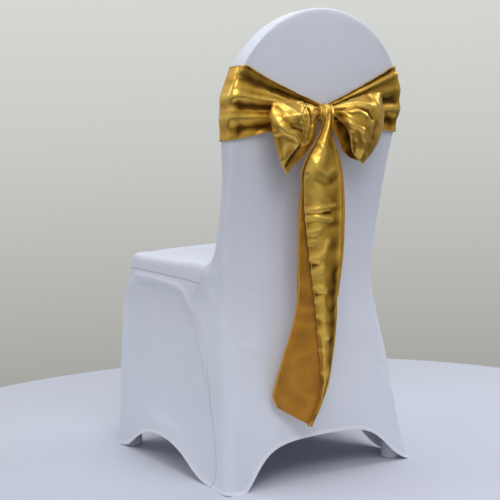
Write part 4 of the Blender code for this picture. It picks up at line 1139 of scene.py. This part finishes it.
def finish_cover(cover):
    """Gives the smooth cover its folds, hems and seams, and returns where the hem's stitches run."""
    near = neighbours(cover)
    points = np.array([v.co[:] for v in cover.vertices])
    normals = np.array([v.normal[:] for v in cover.vertices])
    at_edges, at_points = panels_met(cover)
    hem_pairs = [pair for pair, found in at_edges.items() if len(found) == 1]
    seam_pairs = [pair for pair, found in at_edges.items() if len(set(found)) == 2]
    hem = {v for pair in hem_pairs for v in pair}
    seam = {v for pair in seam_pairs for v in pair}
    everywhere = set(range(len(points)))
    rows = 2**COVER_LEVEL
    chains = layers_from(near, hem, everywhere - seam, rows)
    points = shape_border(points, normals, chains, HEM_PROFILE)
    for panel in (BACK_PANEL, FRONT_PANEL, SKIRT):
        inside = {v for v in everywhere if at_points[v] == {panel}} - hem
        chains = layers_from(near, seam - hem, inside, rows)
        points = shape_border(points, normals, chains, SEAM_PROFILE)
    for v in seam:
        points[v] -= normals[v] * SEAM_DIP
    points = fold_cover(points, normals)
    points[:, 2] = np.maximum(points[:, 2], 0.0)
    cover.vertices.foreach_set("co", points.ravel())
    cover.update()
    shown = [
        (a, b) for a, b in seam_pairs
        if shows(set(at_edges[a, b]), (points[a] + points[b])[2] / 2.0)
    ]
    for name, pairs in (("hem", hem_pairs), ("seam", shown)):
        values = cover.attributes.new(name, "FLOAT", "POINT")
        values.data.foreach_set("value", border_distance(points, pairs))
    chains = layers_from(near, hem, everywhere, rows)
    return stitch_rails(points, normals, chains, hem_pairs)


def cover_panel(cover, panel, name, material, share):
    """One sewn panel of the cover."""
    work = bmesh.new()
    work.from_mesh(cover)
    others = [face for face in work.faces if face.material_index != panel]
    bmesh.ops.delete(work, geom=others, context="FACES")
    for face in work.faces:
        face.material_index = 0
    mesh = bpy.data.meshes.new(name)
    work.to_mesh(mesh)
    work.free()
    return finish_piece(name, mesh, [material], KNIT, share=share)


def surface_tree(cover):
    points = [vertex.co[:] for vertex in cover.vertices]
    return BVHTree.FromPolygons(points, [list(face.vertices) for face in cover.polygons])


def grid_mesh(name, grid):
    """A sheet of quads through a grid of points, with its weave in metres along and across."""
    grid = np.array(grid, dtype=float)
    count, width = grid.shape[:2]
    index = np.arange(count * width).reshape(count, width)
    corners = [index[:-1, :-1], index[1:, :-1], index[1:, 1:], index[:-1, 1:]]
    quads = np.stack(corners, axis=-1).reshape(-1, 4)
    mesh = bpy.data.meshes.new(name)
    mesh.from_pydata([tuple(p) for p in grid.reshape(-1, 3)], [], quads.tolist())
    along = np.repeat(lengths_along(grid)[:, None], width, axis=1)
    across = np.repeat(np.linspace(0.0, SASH_WIDTH, width)[None], count, axis=0)
    coordinates = np.stack([along, across], axis=-1).reshape(-1, 2)
    layer = mesh.uv_layers.new(name="weave")
    loops = np.empty(len(mesh.loops), dtype=int)
    mesh.loops.foreach_get("vertex_index", loops)
    layer.data.foreach_set("uv", coordinates[loops].ravel())
    # Depth below the cloth around each point, which sets the satin's painted fold shade and painted
    # highlight; the near tail's flap gets extra painted shade
    depths = hollows(grid)
    if name == "near_tail":
        depths += painted_flap_shade(grid)
    for label, values in (("edge", np.minimum(across, SASH_WIDTH - across)), ("hollow", depths)):
        attribute = mesh.attributes.new(label, "FLOAT", "POINT")
        attribute.data.foreach_set("value", values.ravel())
    return mesh


def painted_flap_shade(grid):
    """Painted shade for the near tail's flap: a depth added to its hollows that darkens it towards its fold,
    below where the tail slants, standing in for the flap turning away from the light.
    """
    shares = np.linspace(0.0, 1.0, TAIL_FLAP_COLUMNS + TAIL_BEND_COLUMNS)
    # How much painted shade the flap takes across towards its fold, and down from where the tail slants
    turned = np.clip((shares - PAINTED_FLAP_SHADE_FROM) / PAINTED_FLAP_SHADE_SPAN, 0.0, 1.0)
    low = np.clip((PAINTED_FLAP_SHADE_HEIGHT - grid[:, 0, 2]) / PAINTED_FLAP_SHADE_RISE, 0.0, 1.0)
    depths = np.zeros(grid.shape[:2])
    depths[:, :len(shares)] = PAINTED_FLAP_SHADE_DEPTH * np.outer(low, turned)
    return depths


def grid_normals(grid):
    along = np.gradient(grid, axis=0)
    across = np.gradient(grid, axis=1)
    normal = np.cross(along, across)
    return normal / np.maximum(np.linalg.norm(normal, axis=2, keepdims=True), 1e-9)


def hollows(grid):
    """How far each point lies below the cloth around it, seen from the shining face."""
    around = grid
    for _ in range(HOLLOW_ROUNDS):
        wide = np.pad(around, ((1, 1), (1, 1), (0, 0)), mode="edge")
        around = (wide[:-2, 1:-1] + wide[2:, 1:-1] + wide[1:-1, :-2] + wide[1:-1, 2:]) / 4.0
    return ((around - grid) * grid_normals(grid)).sum(axis=2)


def wavy(values, seed):
    """A smooth random line with heights from -1 to 1."""
    return np.array([noise(Vector((value, seed, 0.37 * seed))) for value in values])


def pleat(sign, share):
    """Height of the band's ridges, from -1 to 1."""
    places, heights = zip(*BAND_PLEATS[sign])
    first = np.searchsorted(places, share) - 1
    t = (share - places[first]) / (places[first + 1] - places[first])
    blend = 0.5 - 0.5 * cos(pi * t)
    return heights[first] + (heights[first + 1] - heights[first]) * blend


def band_behind(sign, reach, z, height, surface):
    """A point of the band between the knot and the rear corner."""
    half, rear, _ = back_section(z)
    deeper = (1.0 - reach) ** 0.5 * min(1.0, GATHER_RATE * reach)
    depth = (FOLD_DEPTH + GATHER_DEPTH * deeper) * (1.0 + height)
    start = KNOT_CENTRE[0]
    x = start + BAND_START * sign + (half * sign - CORNER_INSET * sign - start) * reach
    y = KNOT_CENTRE[1] - BAND_TUCK
    y += (rear + SASH_LIFT - KNOT_CENTRE[1] + BAND_TUCK) * reach
    spot = Vector((x, y + depth * min(1.0, GATHER_START + GATHER_RATE * reach), z))
    near, normal, _, _ = surface.find_nearest(spot)
    if (spot - near).dot(normal) < SASH_LIFT:
        spot = near + normal * SASH_LIFT
    return tuple(spot)


def band_ahead(sign, reach, z, height, surface):
    """A point of the band from the rear corner round to the middle of the front."""
    half, rear, front = back_section(z)
    if reach <= 2.0:
        angle = pi / 2.0 - pi * (reach - 1.0)
        x = sign * (half - CORNER_INSET + CORNER_REACH * max(0.0, cos(angle)) ** 0.5)
        swell = (rear - front) / 2.0 * CORNER_SWELL * abs(sin(angle)) ** 0.5
        y = (rear + front) / 2.0 + swell * (1 if angle > 0 else -1)
    else:
        x = sign * (half - CORNER_INSET) * (3.0 - reach)
        y = front - FRONT_STANDOFF
    spot = Vector((x, y, z))
    near, normal, _, distance = surface.find_nearest(spot)
    if (spot - near).dot(normal) > 0.0 and distance > SASH_LIFT / 4.0:
        normal = (spot - near) / distance
    flatter = max(FLATTEST, 1.0 - FLATTEN_RATE * (reach - 1.0))
    return tuple(near + normal * (SASH_LIFT + FOLD_DEPTH * (1.0 + height) * flatter))


def band_point(sign, reach, share, surface):
    """A point of the band: reach is 0 at the knot, 1 and 2 at the corners and 3 at the front middle."""
    low, high = BAND_SIDES[sign]
    if reach <= 1.0:
        low = BAND_KNOT[0] + (low - BAND_KNOT[0]) * reach
        high = BAND_KNOT[1] + (high - BAND_KNOT[1]) * reach
    else:
        fade = min(1.0, (reach - 1.0) / FRONT_FADE)
        low += (BAND_FRONT[0] - low) * fade
        high += (BAND_FRONT[1] - high) * fade
    way = band_behind if reach < 1.0 else band_ahead
    return way(sign, reach, low + (high - low) * share, pleat(sign, share), surface)


def ease(grid, first, last, rounds):
    """Smooths rows of a grid along its length between two rows."""
    for _ in range(rounds):
        inner = (grid[first - 1:last - 1] + 2.0 * grid[first:last] + grid[first + 1:last + 1]) / 4.0
        grid[first:last] = inner
    return grid


def clear_of(grid, surface, lift):
    """Lifts the points of a grid that come nearer than lift to the cover."""
    for spot in grid.reshape(-1, 3):
        near, normal, _, _ = surface.find_nearest(Vector(spot))
        height = (Vector(spot) - near).dot(normal)
        if height < lift:
            spot += np.array(normal) * (lift - height)
    return grid


def band_grid(surface):
    behind = np.linspace(0.0, 1.0, BAND_BEHIND + 1)[:-1]
    around = np.linspace(1.0, 2.0, BAND_AROUND + 1)[:-1]
    ahead = np.linspace(2.0, 3.0, BAND_AHEAD + 1)[:-1]
    one_way = np.concatenate([behind, around, ahead])
    stations = [(1, reach) for reach in one_way] + [(1, 3.0)]
    stations += [(-1, reach) for reach in one_way[::-1]]
    shares = np.linspace(0.0, 1.0, BAND_COLUMNS + 1)
    grid = np.array([
        [band_point(sign, reach, share, surface) for share in shares]
        for sign, reach in stations
    ])
    for corner in (BAND_BEHIND, len(stations) - 1 - BAND_BEHIND):
        ease(grid, corner - EASE_ROWS, corner + EASE_ROWS, EASE_ROUNDS)
    return clear_of(grid, surface, SASH_LIFT)


def loop_grid(ribs):
    keys = [flow(rib, LOOP_STEPS_ACROSS) for rib in ribs]
    return flow(keys, LOOP_STEPS_ALONG)


def line_distance(points, line):
    """Distance from each point to a line of straight stretches."""
    best = np.full(len(points), 1.0)
    line = np.array(line)
    for start, end in zip(line, line[1:]):
        span = end - start
        share = np.clip((points - start) @ span / (span @ span), 0.0, 1.0)
        best = np.minimum(best, np.linalg.norm(points - start - share[:, None] * span, axis=1))
    return best


def stroke_relief(grid, strokes):
    """Height of the ridges and hollows over each point of a grid, seen from behind the chair."""
    flat = grid.reshape(-1, 3)[:, [0, 2]]
    height = np.zeros(len(flat))
    for stroke in strokes:
        height += stroke.height * np.exp(-((line_distance(flat, stroke.line) / stroke.width) ** 2))
    return height.reshape(grid.shape[:2])


def lengths_along(grid):
    steps = np.linalg.norm(np.diff(grid, axis=0), axis=2)
    along = np.concatenate([np.zeros((1, grid.shape[1])), np.cumsum(steps, axis=0)])
    return along.mean(axis=1)


def crumple(grid, seed, height):
    """Fine creases all over, and the puckers that the overlocked hems pull the satin into."""
    along = lengths_along(grid)
    across = np.linspace(0.0, SASH_WIDTH, grid.shape[1])
    relief = np.zeros(grid.shape[:2])
    for i, a in enumerate(along):
        for j, c in enumerate(across):
            broad = noise(Vector((a * FACET_SCALE, c * FACET_SCALE, seed)))
            small = noise(Vector((a * FACET_SCALE, c * CRUMPLE_SCALE, seed + CRUMPLE_SEED)))
            relief[i, j] = (FACET_LEVEL - abs(broad)) * FACET_SHARE + small * CRUMPLE_SHARE
    edge = np.minimum(across, SASH_WIDTH - across)
    by_hem = np.exp(-((edge / PUCKER_REACH) ** 2))
    for number, side in enumerate((across < SASH_WIDTH / 2.0, across >= SASH_WIDTH / 2.0)):
        broad_seed, fine_seed = (seed + offset + number for offset in PUCKER_SEEDS)
        broad = wavy(along * PUCKER_SCALE, broad_seed)
        fine = wavy(along * PUCKER_SCALE * PUCKER_FINE_SCALE, fine_seed)
        relief += np.outer(broad + 0.5 * fine, by_hem * side) * PUCKER_SHARE
    return grid_normals(grid) * (relief * height)[..., None]


def tail_row(heights, left, right, flap, gap):
    """Distances across and in depth, and heights, of one row: back layer, fold and flap."""
    left_height, fold_height, flap_height = heights
    outward = 1.0 if left > right else -1.0
    row = []
    for share in np.linspace(0.0, 1.0, TAIL_BACK_COLUMNS):
        across = left + (right - left) * share
        row.append((across, 0.0, left_height + (fold_height - left_height) * share))
    for angle in np.linspace(-pi / 2, pi / 2, TAIL_BEND_COLUMNS + 2)[1:-1]:
        across = right - outward * gap * 0.5 * cos(angle)
        row.append((across, outward * gap * 0.5 * (1 + sin(angle)), fold_height))
    for share in np.linspace(0.0, 1.0, TAIL_FLAP_COLUMNS):
        height = fold_height + (flap_height - fold_height) * share
        swell = 1.0 + FLAP_SWELL * sin(pi * share**FLAP_PEAK)
        row.append((right + (flap - right) * share, outward * gap * swell, height))
    return row


def tail_grid(drops, hang):
    """A hanging tail, folded over along one side, that turns as it hangs and has a slanting end."""
    rows = []
    values = flow([[*drop.heights, *drop[1:]] for drop in drops], TAIL_STEPS)
    for *heights, turn, left, right, flap, gap in values:
        angle = radians(turn)
        points = []
        for across, depth, height in tail_row(heights, left, right, flap, gap):
            x = across * cos(angle) + depth * sin(angle)
            y = hang - across * sin(angle) + depth * cos(angle)
            points.append((x, y, height))
        rows.append(points)
    return np.array(rows)


def front_share(name, grid):
    """Where the strokes show: on the front layer of a loop, and on the flap of the near tail."""
    if name == "near_tail":
        share = np.zeros(grid.shape[:2])
        share[:, -TAIL_FLAP_COLUMNS:] = 1.0
        return share
    rows = np.arange(len(grid)) / (LOOP_FRONT_RIBS[name] * LOOP_STEPS_ALONG)
    fade = np.clip(STROKE_FADE * (STROKE_END - rows), 0.0, 1.0)
    return np.repeat(fade[:, None], grid.shape[1], axis=1)


def sash_grids(surface):
    """The sheets of the sash, with the folds of the photographed bow in them."""
    grids = {
        "sash_band": band_grid(surface),
        "left_loop": loop_grid(LEFT_LOOP),
        "right_loop": loop_grid(RIGHT_LOOP),
        "near_tail": tail_grid(NEAR_TAIL, TAIL_HANG["near"]),
        "far_tail": tail_grid(FAR_TAIL, TAIL_HANG["far"]),
    }
    strokes = {"left_loop": LEFT_STROKES, "right_loop": RIGHT_STROKES, "near_tail": TAIL_STROKES}
    for number, (name, grid) in enumerate(grids.items()):
        normals = grid_normals(grid)
        if name in strokes:
            relief = stroke_relief(grid, strokes[name])
            front = front_share(name, grid)
            facing = np.sign((normals[..., 1] * front).sum())
            grid += normals * (facing * relief * front)[..., None]
        creases = crumple(grid, SEED_STEP * number, CRUMPLE)
        if name == "sash_band":
            # Taut round the front of the back, where nothing gathers it
            from_front = abs(np.arange(len(grid)) - len(grid) // 2)
            taut = np.clip((from_front - BAND_AHEAD) / BAND_AROUND, BAND_FRONT_CREASE, 1.0)
            creases *= taut[:, None, None]
        if name in LOOP_FRONT_RIBS:
            lining = np.arange(len(grid)) > (LOOP_FRONT_RIBS[name] + LINING_FROM) * LOOP_STEPS_ALONG
            creases[lining] *= LOOP_LINING
        grid += creases
        if name == "sash_band":
            clear_of(grid, surface, SASH_LIFT - CREASE_ALLOWANCE)
    return grids


def hem_path(grid):
    """Where the overlocking runs: just inside both hems, with the cloth's normals."""
    normals = grid_normals(grid)
    paths = []
    for edge, inner in ((0, 1), (-1, -2)):
        way = grid[:, inner] - grid[:, edge]
        way /= np.maximum(np.linalg.norm(way, axis=1, keepdims=True), 1e-9)
        spots = grid[:, edge] + way * OVERLOCK_INSET + normals[:, edge] * SATIN * OVERLOCK_SIT
        paths.append((spots, normals[:, edge]))
    return paths


def stitch_tree(name):
    """Geometry Nodes: rounded threads laid along the edges of a mesh, at an even spacing."""
    tree = bpy.data.node_groups.new(name, "GeometryNodeTree")
    tree.interface.new_socket("Geometry", in_out="INPUT", socket_type="NodeSocketGeometry")
    for label in ("Spacing", "Length", "Thickness", "Slant"):
        tree.interface.new_socket(label, in_out="INPUT", socket_type="NodeSocketFloat")
    tree.interface.new_socket("Thread", in_out="INPUT", socket_type="NodeSocketMaterial")
    tree.interface.new_socket("Geometry", in_out="OUTPUT", socket_type="NodeSocketGeometry")
    given = add_node(tree, "NodeGroupInput").outputs
    path = add_node(tree, "GeometryNodeMeshToCurve", {"Mesh": given["Geometry"]})
    spaced = add_node(tree, "GeometryNodeResampleCurve",
                      {"Curve": path.outputs["Curve"], "Length": given["Spacing"]},
                      mode="LENGTH")
    tangent = add_node(tree, "GeometryNodeInputTangent").outputs["Tangent"]
    lie = add_node(tree, "GeometryNodeInputNamedAttribute", {"Name": "lie"}, data_type="FLOAT_VECTOR")
    along = add_node(tree, "FunctionNodeAlignRotationToVector", {"Vector": tangent}, axis="X")
    flat = add_node(tree, "FunctionNodeAlignRotationToVector",
                    {"Rotation": along.outputs["Rotation"], "Vector": lie.outputs["Attribute"]},
                    axis="Z", pivot_axis="X")
    angle = add_node(tree, "ShaderNodeCombineXYZ", {"Z": given["Slant"]})
    slanted = add_node(tree, "FunctionNodeEulerToRotation", {"Euler": angle.outputs["Vector"]})
    turned = add_node(tree, "FunctionNodeRotateRotation",
                      {"Rotation": flat.outputs["Rotation"], "Rotate By": slanted.outputs["Rotation"]},
                      rotation_space="LOCAL")
    ball = add_node(tree, "GeometryNodeMeshUVSphere", {"Segments": 6, "Rings": 4, "Radius": 0.5})
    size = add_node(tree, "ShaderNodeCombineXYZ",
                    {"X": given["Length"], "Y": given["Thickness"], "Z": given["Thickness"]})
    thread = add_node(tree, "GeometryNodeTransform",
                      {"Geometry": ball.outputs["Mesh"], "Scale": size.outputs["Vector"]})
    copies = add_node(tree, "GeometryNodeInstanceOnPoints",
                      {"Points": spaced.outputs["Curve"], "Instance": thread.outputs["Geometry"],
                       "Rotation": turned.outputs["Rotation"]})
    real = add_node(tree, "GeometryNodeRealizeInstances", {"Geometry": copies.outputs["Instances"]})
    smooth = add_node(tree, "GeometryNodeSetShadeSmooth", {"Geometry": real.outputs["Geometry"]})
    painted = add_node(tree, "GeometryNodeSetMaterial",
                       {"Geometry": smooth.outputs["Geometry"], "Material": given["Thread"]})
    add_node(tree, "NodeGroupOutput", {"Geometry": painted.outputs["Geometry"]})
    return tree


def stitch_piece(name, groups, thread, sizes):
    """A row of stitches along each path of points and normals."""
    places = {}
    points, lies, edges = [], [], []
    for paths in groups:
        for spots, normals in paths:
            line = []
            for spot, normal in zip(spots, normals):
                # Points that fall together are made one, so that the row runs on through them
                key = tuple(round(value, 6) for value in spot)
                if key not in places:
                    places[key] = len(points)
                    points.append(tuple(spot))
                    lies.append(tuple(normal))
                line.append(places[key])
            edges += zip(line, line[1:])
    mesh = bpy.data.meshes.new(name + "_path")
    mesh.from_pydata(points, edges, [])
    lie = mesh.attributes.new("lie", "FLOAT_VECTOR", "POINT")
    lie.data.foreach_set("vector", np.array(lies, dtype=float).ravel())
    move_to_packed_frame(mesh)
    path = bpy.data.objects.new(name + "_path", mesh)
    bpy.context.scene.collection.objects.link(path)
    tree = stitch_tree(name)
    modifier = path.modifiers.new("stitches", "NODES")
    modifier.node_group = tree
    keys = {item.name: item.identifier for item in tree.interface.items_tree if item.in_out == "INPUT"}
    for label, value in (*sizes.items(), ("Thread", thread)):
        modifier[keys[label]] = value
    bpy.context.view_layer.update()
    graph = bpy.context.evaluated_depsgraph_get()
    result = bpy.data.meshes.new_from_object(path.evaluated_get(graph), depsgraph=graph)
    path.modifiers.remove(modifier)
    bpy.data.objects.remove(path, do_unlink=True)
    result.name = name
    piece = bpy.data.objects.new(name, result)
    bpy.context.scene.collection.objects.link(piece)
    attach(piece, "root")
    return piece


def knot_grid():
    """The strip wrapped over the middle of the bow, with creases that run over it from top to bottom."""
    rows = []
    for turn in np.linspace(0.0, 2.0 * pi, KNOT_STEPS + 1):
        row = []
        for share in np.linspace(-KNOT_OPEN, KNOT_OPEN, KNOT_COLUMNS + 1):
            crease = sin(KNOT_WAVE * share + KNOT_TWIST * sin(turn))
            crease += KNOT_FINE_SHARE * sin(KNOT_FINE_WAVE * share - turn)
            wrap = cos(share * pi / 2.0) ** KNOT_WAIST * (1.0 + KNOT_CREASE * crease)
            x = KNOT_CENTRE[0] + KNOT_RADII[0] * sin(share * pi / 2.0)
            y = KNOT_CENTRE[1] - KNOT_RADII[1] * wrap * cos(turn)
            row.append((x, y, KNOT_CENTRE[2] + KNOT_RADII[2] * wrap * sin(turn)))
        rows.append(row)
    return np.array(rows)


def make_stage():
    """A plain pale round floor."""
    work = bmesh.new()
    bmesh.ops.create_circle(work, cap_ends=True, segments=256, radius=FLOOR_RADIUS)
    mesh = bpy.data.meshes.new("floor")
    work.to_mesh(mesh)
    work.free()
    mesh.transform(Matrix.Translation(FLOOR_CENTRE))
    move_to_packed_frame(mesh)
    mesh.materials.append(plain_material("pale floor", "#D6D9E6", 0.9))
    floor = bpy.data.objects.new("floor", mesh)
    bpy.context.scene.collection.objects.link(floor)


def add_light(light):
    data = bpy.data.lights.new(light.name, "AREA")
    data.size = light.width
    data.energy = light.power
    data.color = LIGHT_COLOUR
    softbox = bpy.data.objects.new(light.name, data)
    softbox.location = light.place
    aim = Vector(light.target) - Vector(light.place)
    softbox.rotation_euler = aim.to_track_quat("-Z", "Y").to_euler()
    bpy.context.scene.collection.objects.link(softbox)


def make_light():
    """Soft studio light from above, in a pale grey room that darkens towards the floor."""
    world = bpy.data.worlds.new("studio")
    world.use_nodes = True
    tree = world.node_tree
    way = add_node(tree, "ShaderNodeTexCoord").outputs["Generated"]
    split = add_node(tree, "ShaderNodeSeparateXYZ", {"Vector": way})
    height = add_node(tree, "ShaderNodeMapRange",
                      {"Value": split.outputs["Z"], "From Min": -1.0, "From Max": 1.0})
    ramp = add_node(tree, "ShaderNodeValToRGB", {"Fac": height.outputs["Result"]})
    elements = ramp.color_ramp.elements
    for rise, code in ROOM_COLOURS:
        elements.new(0.5 + 0.5 * rise).color = linear(code)
    elements.remove(elements[0])
    elements.remove(elements[-1])
    toward = add_node(tree, "ShaderNodeVectorMath", {0: way, 1: DARK_WAY}, operation="DOT_PRODUCT")
    darker = add_node(tree, "ShaderNodeMapRange",
                      {"Value": toward.outputs["Value"], "From Min": DARK_START, "From Max": DARK_END,
                       "To Min": 0.0, "To Max": DARK_MOST})
    room = add_node(tree, "ShaderNodeMix",
                    {"Factor": darker.outputs["Result"], FIRST_COLOUR: ramp.outputs["Color"],
                     SECOND_COLOUR: linear("#000000")},
                    data_type="RGBA")
    background = tree.nodes["Background"]
    tree.links.new(room.outputs[MIXED_COLOUR], background.inputs["Color"])
    background.inputs["Strength"].default_value = 1.0
    bpy.context.scene.world = world
    for light in LIGHTS:
        add_light(light)


def make_camera():
    yaw, pitch, roll = CAMERA_YAW, CAMERA_PITCH, CAMERA_ROLL
    ahead = Vector((cos(pitch) * cos(yaw), cos(pitch) * sin(yaw), sin(pitch)))
    level = Vector((sin(yaw), -cos(yaw), 0.0))
    above = level.cross(ahead)
    right = level * cos(roll) + above * sin(roll)
    up = above * cos(roll) - level * sin(roll)
    data = bpy.data.cameras.new("camera")
    data.sensor_width = 36.0
    data.lens = CAMERA_LENS
    camera = bpy.data.objects.new("camera", data)
    turn = Matrix((right, up, -ahead)).transposed().to_4x4()
    camera.matrix_world = Matrix.Translation(Vector(CAMERA_PLACE) - ORIGIN) @ turn
    bpy.context.scene.collection.objects.link(camera)
    bpy.context.scene.camera = camera


def pocket_mesh(centre, surface):
    """The cup sewn inside a toe, as an open surface."""
    reaches = [POCKET_REACH] * POCKET_SIDES
    points = []
    for height in np.linspace(POCKET_HEIGHT, POCKET_FLOOR, POCKET_RINGS):
        start = Vector((*centre, max(height, LEAST_RAY_HEIGHT)))
        for number in range(POCKET_SIDES):
            angle = 2.0 * pi * number / POCKET_SIDES
            way = Vector((cos(angle), sin(angle), 0.0))
            _, normal, _, distance = surface.ray_cast(start, way)
            if distance is not None:
                slope = max(LEAST_SLOPE, abs(way.dot(normal)))
                reaches[number] = min(reaches[number], distance - POCKET_CLEARANCE / slope)
            spot = start + way * reaches[number]
            points.append((spot.x, spot.y, height))
    points.append((*centre, POCKET_FLOOR))
    faces = []
    for ring in range(POCKET_RINGS - 1):
        upper, lower = ring * POCKET_SIDES, (ring + 1) * POCKET_SIDES
        for number in range(POCKET_SIDES):
            following = (number + 1) % POCKET_SIDES
            faces.append([lower + number, lower + following, upper + following, upper + number])
    last = (POCKET_RINGS - 1) * POCKET_SIDES
    for number in range(POCKET_SIDES):
        faces.append([len(points) - 1, last + (number + 1) % POCKET_SIDES, last + number])
    mesh = bpy.data.meshes.new("pocket")
    mesh.from_pydata(points, [], faces)
    return mesh


def make_cover(knit, cotton):
    """The three panels, the stitches of their hems and the foot pockets. Returns the cover's surface."""
    cover = smooth_cover(build_cage(), COVER_LEVEL)
    hem_rails = finish_cover(cover)
    surface = surface_tree(cover)
    stitches = stitch_piece("cover_hem_stitches", [hem_rails], cotton, HEM_STITCH)
    for panel in PANELS:
        piece = cover_panel(cover, panel.number, panel.name, knit, panel.kept)
        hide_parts(f"cover_{panel.name}")
    for end, centre in POCKET_PLACES.items():
        for sign, side in ((1, "left"), (-1, "right")):
            mesh = pocket_mesh((sign * centre[0], centre[1]), surface)
            piece = finish_piece(f"pocket_{end}_{side}", mesh, [knit], KNIT)
            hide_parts(f"foot_pocket_{end}_{side}")
    return surface


def make_sash(satins, thread, surface):
    """The band, the loops, the tails, the knot and the overlocking along their hems."""
    sheets = []
    for name, grid in sash_grids(surface).items():
        # Mirrored across, so that the shining face is the outer one
        if name not in ("left_loop", "far_tail"):
            grid = grid[:, ::-1]
        sheets.append(grid)
        piece = finish_piece(name, grid_mesh(name, grid), satins, SATIN, inner=1)
        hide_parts("sash")
    knot = finish_piece("knot", grid_mesh("knot", knot_grid()[:, ::-1]), satins, SATIN, inner=1)
    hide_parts("sash")
    overlock = stitch_piece("sash_overlock", [hem_path(grid) for grid in sheets], thread, OVERLOCK)


def main():
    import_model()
    knit = knit_material()
    satins = [satin_material("gold satin face", SATIN_FACE), satin_material("gold satin back", SATIN_BACK)]
    thread = plain_material("gold overlock thread", SATIN_COLOURS["thread"], 0.5)
    cotton = plain_material("white sewing thread", KNIT_COLOURS["hem"], 0.6)
    surface = make_cover(knit, cotton)
    make_sash(satins, thread, surface)
    make_stage()
    make_light()
    bpy.context.scene.view_settings.view_transform = "Standard"
    make_camera()


main()
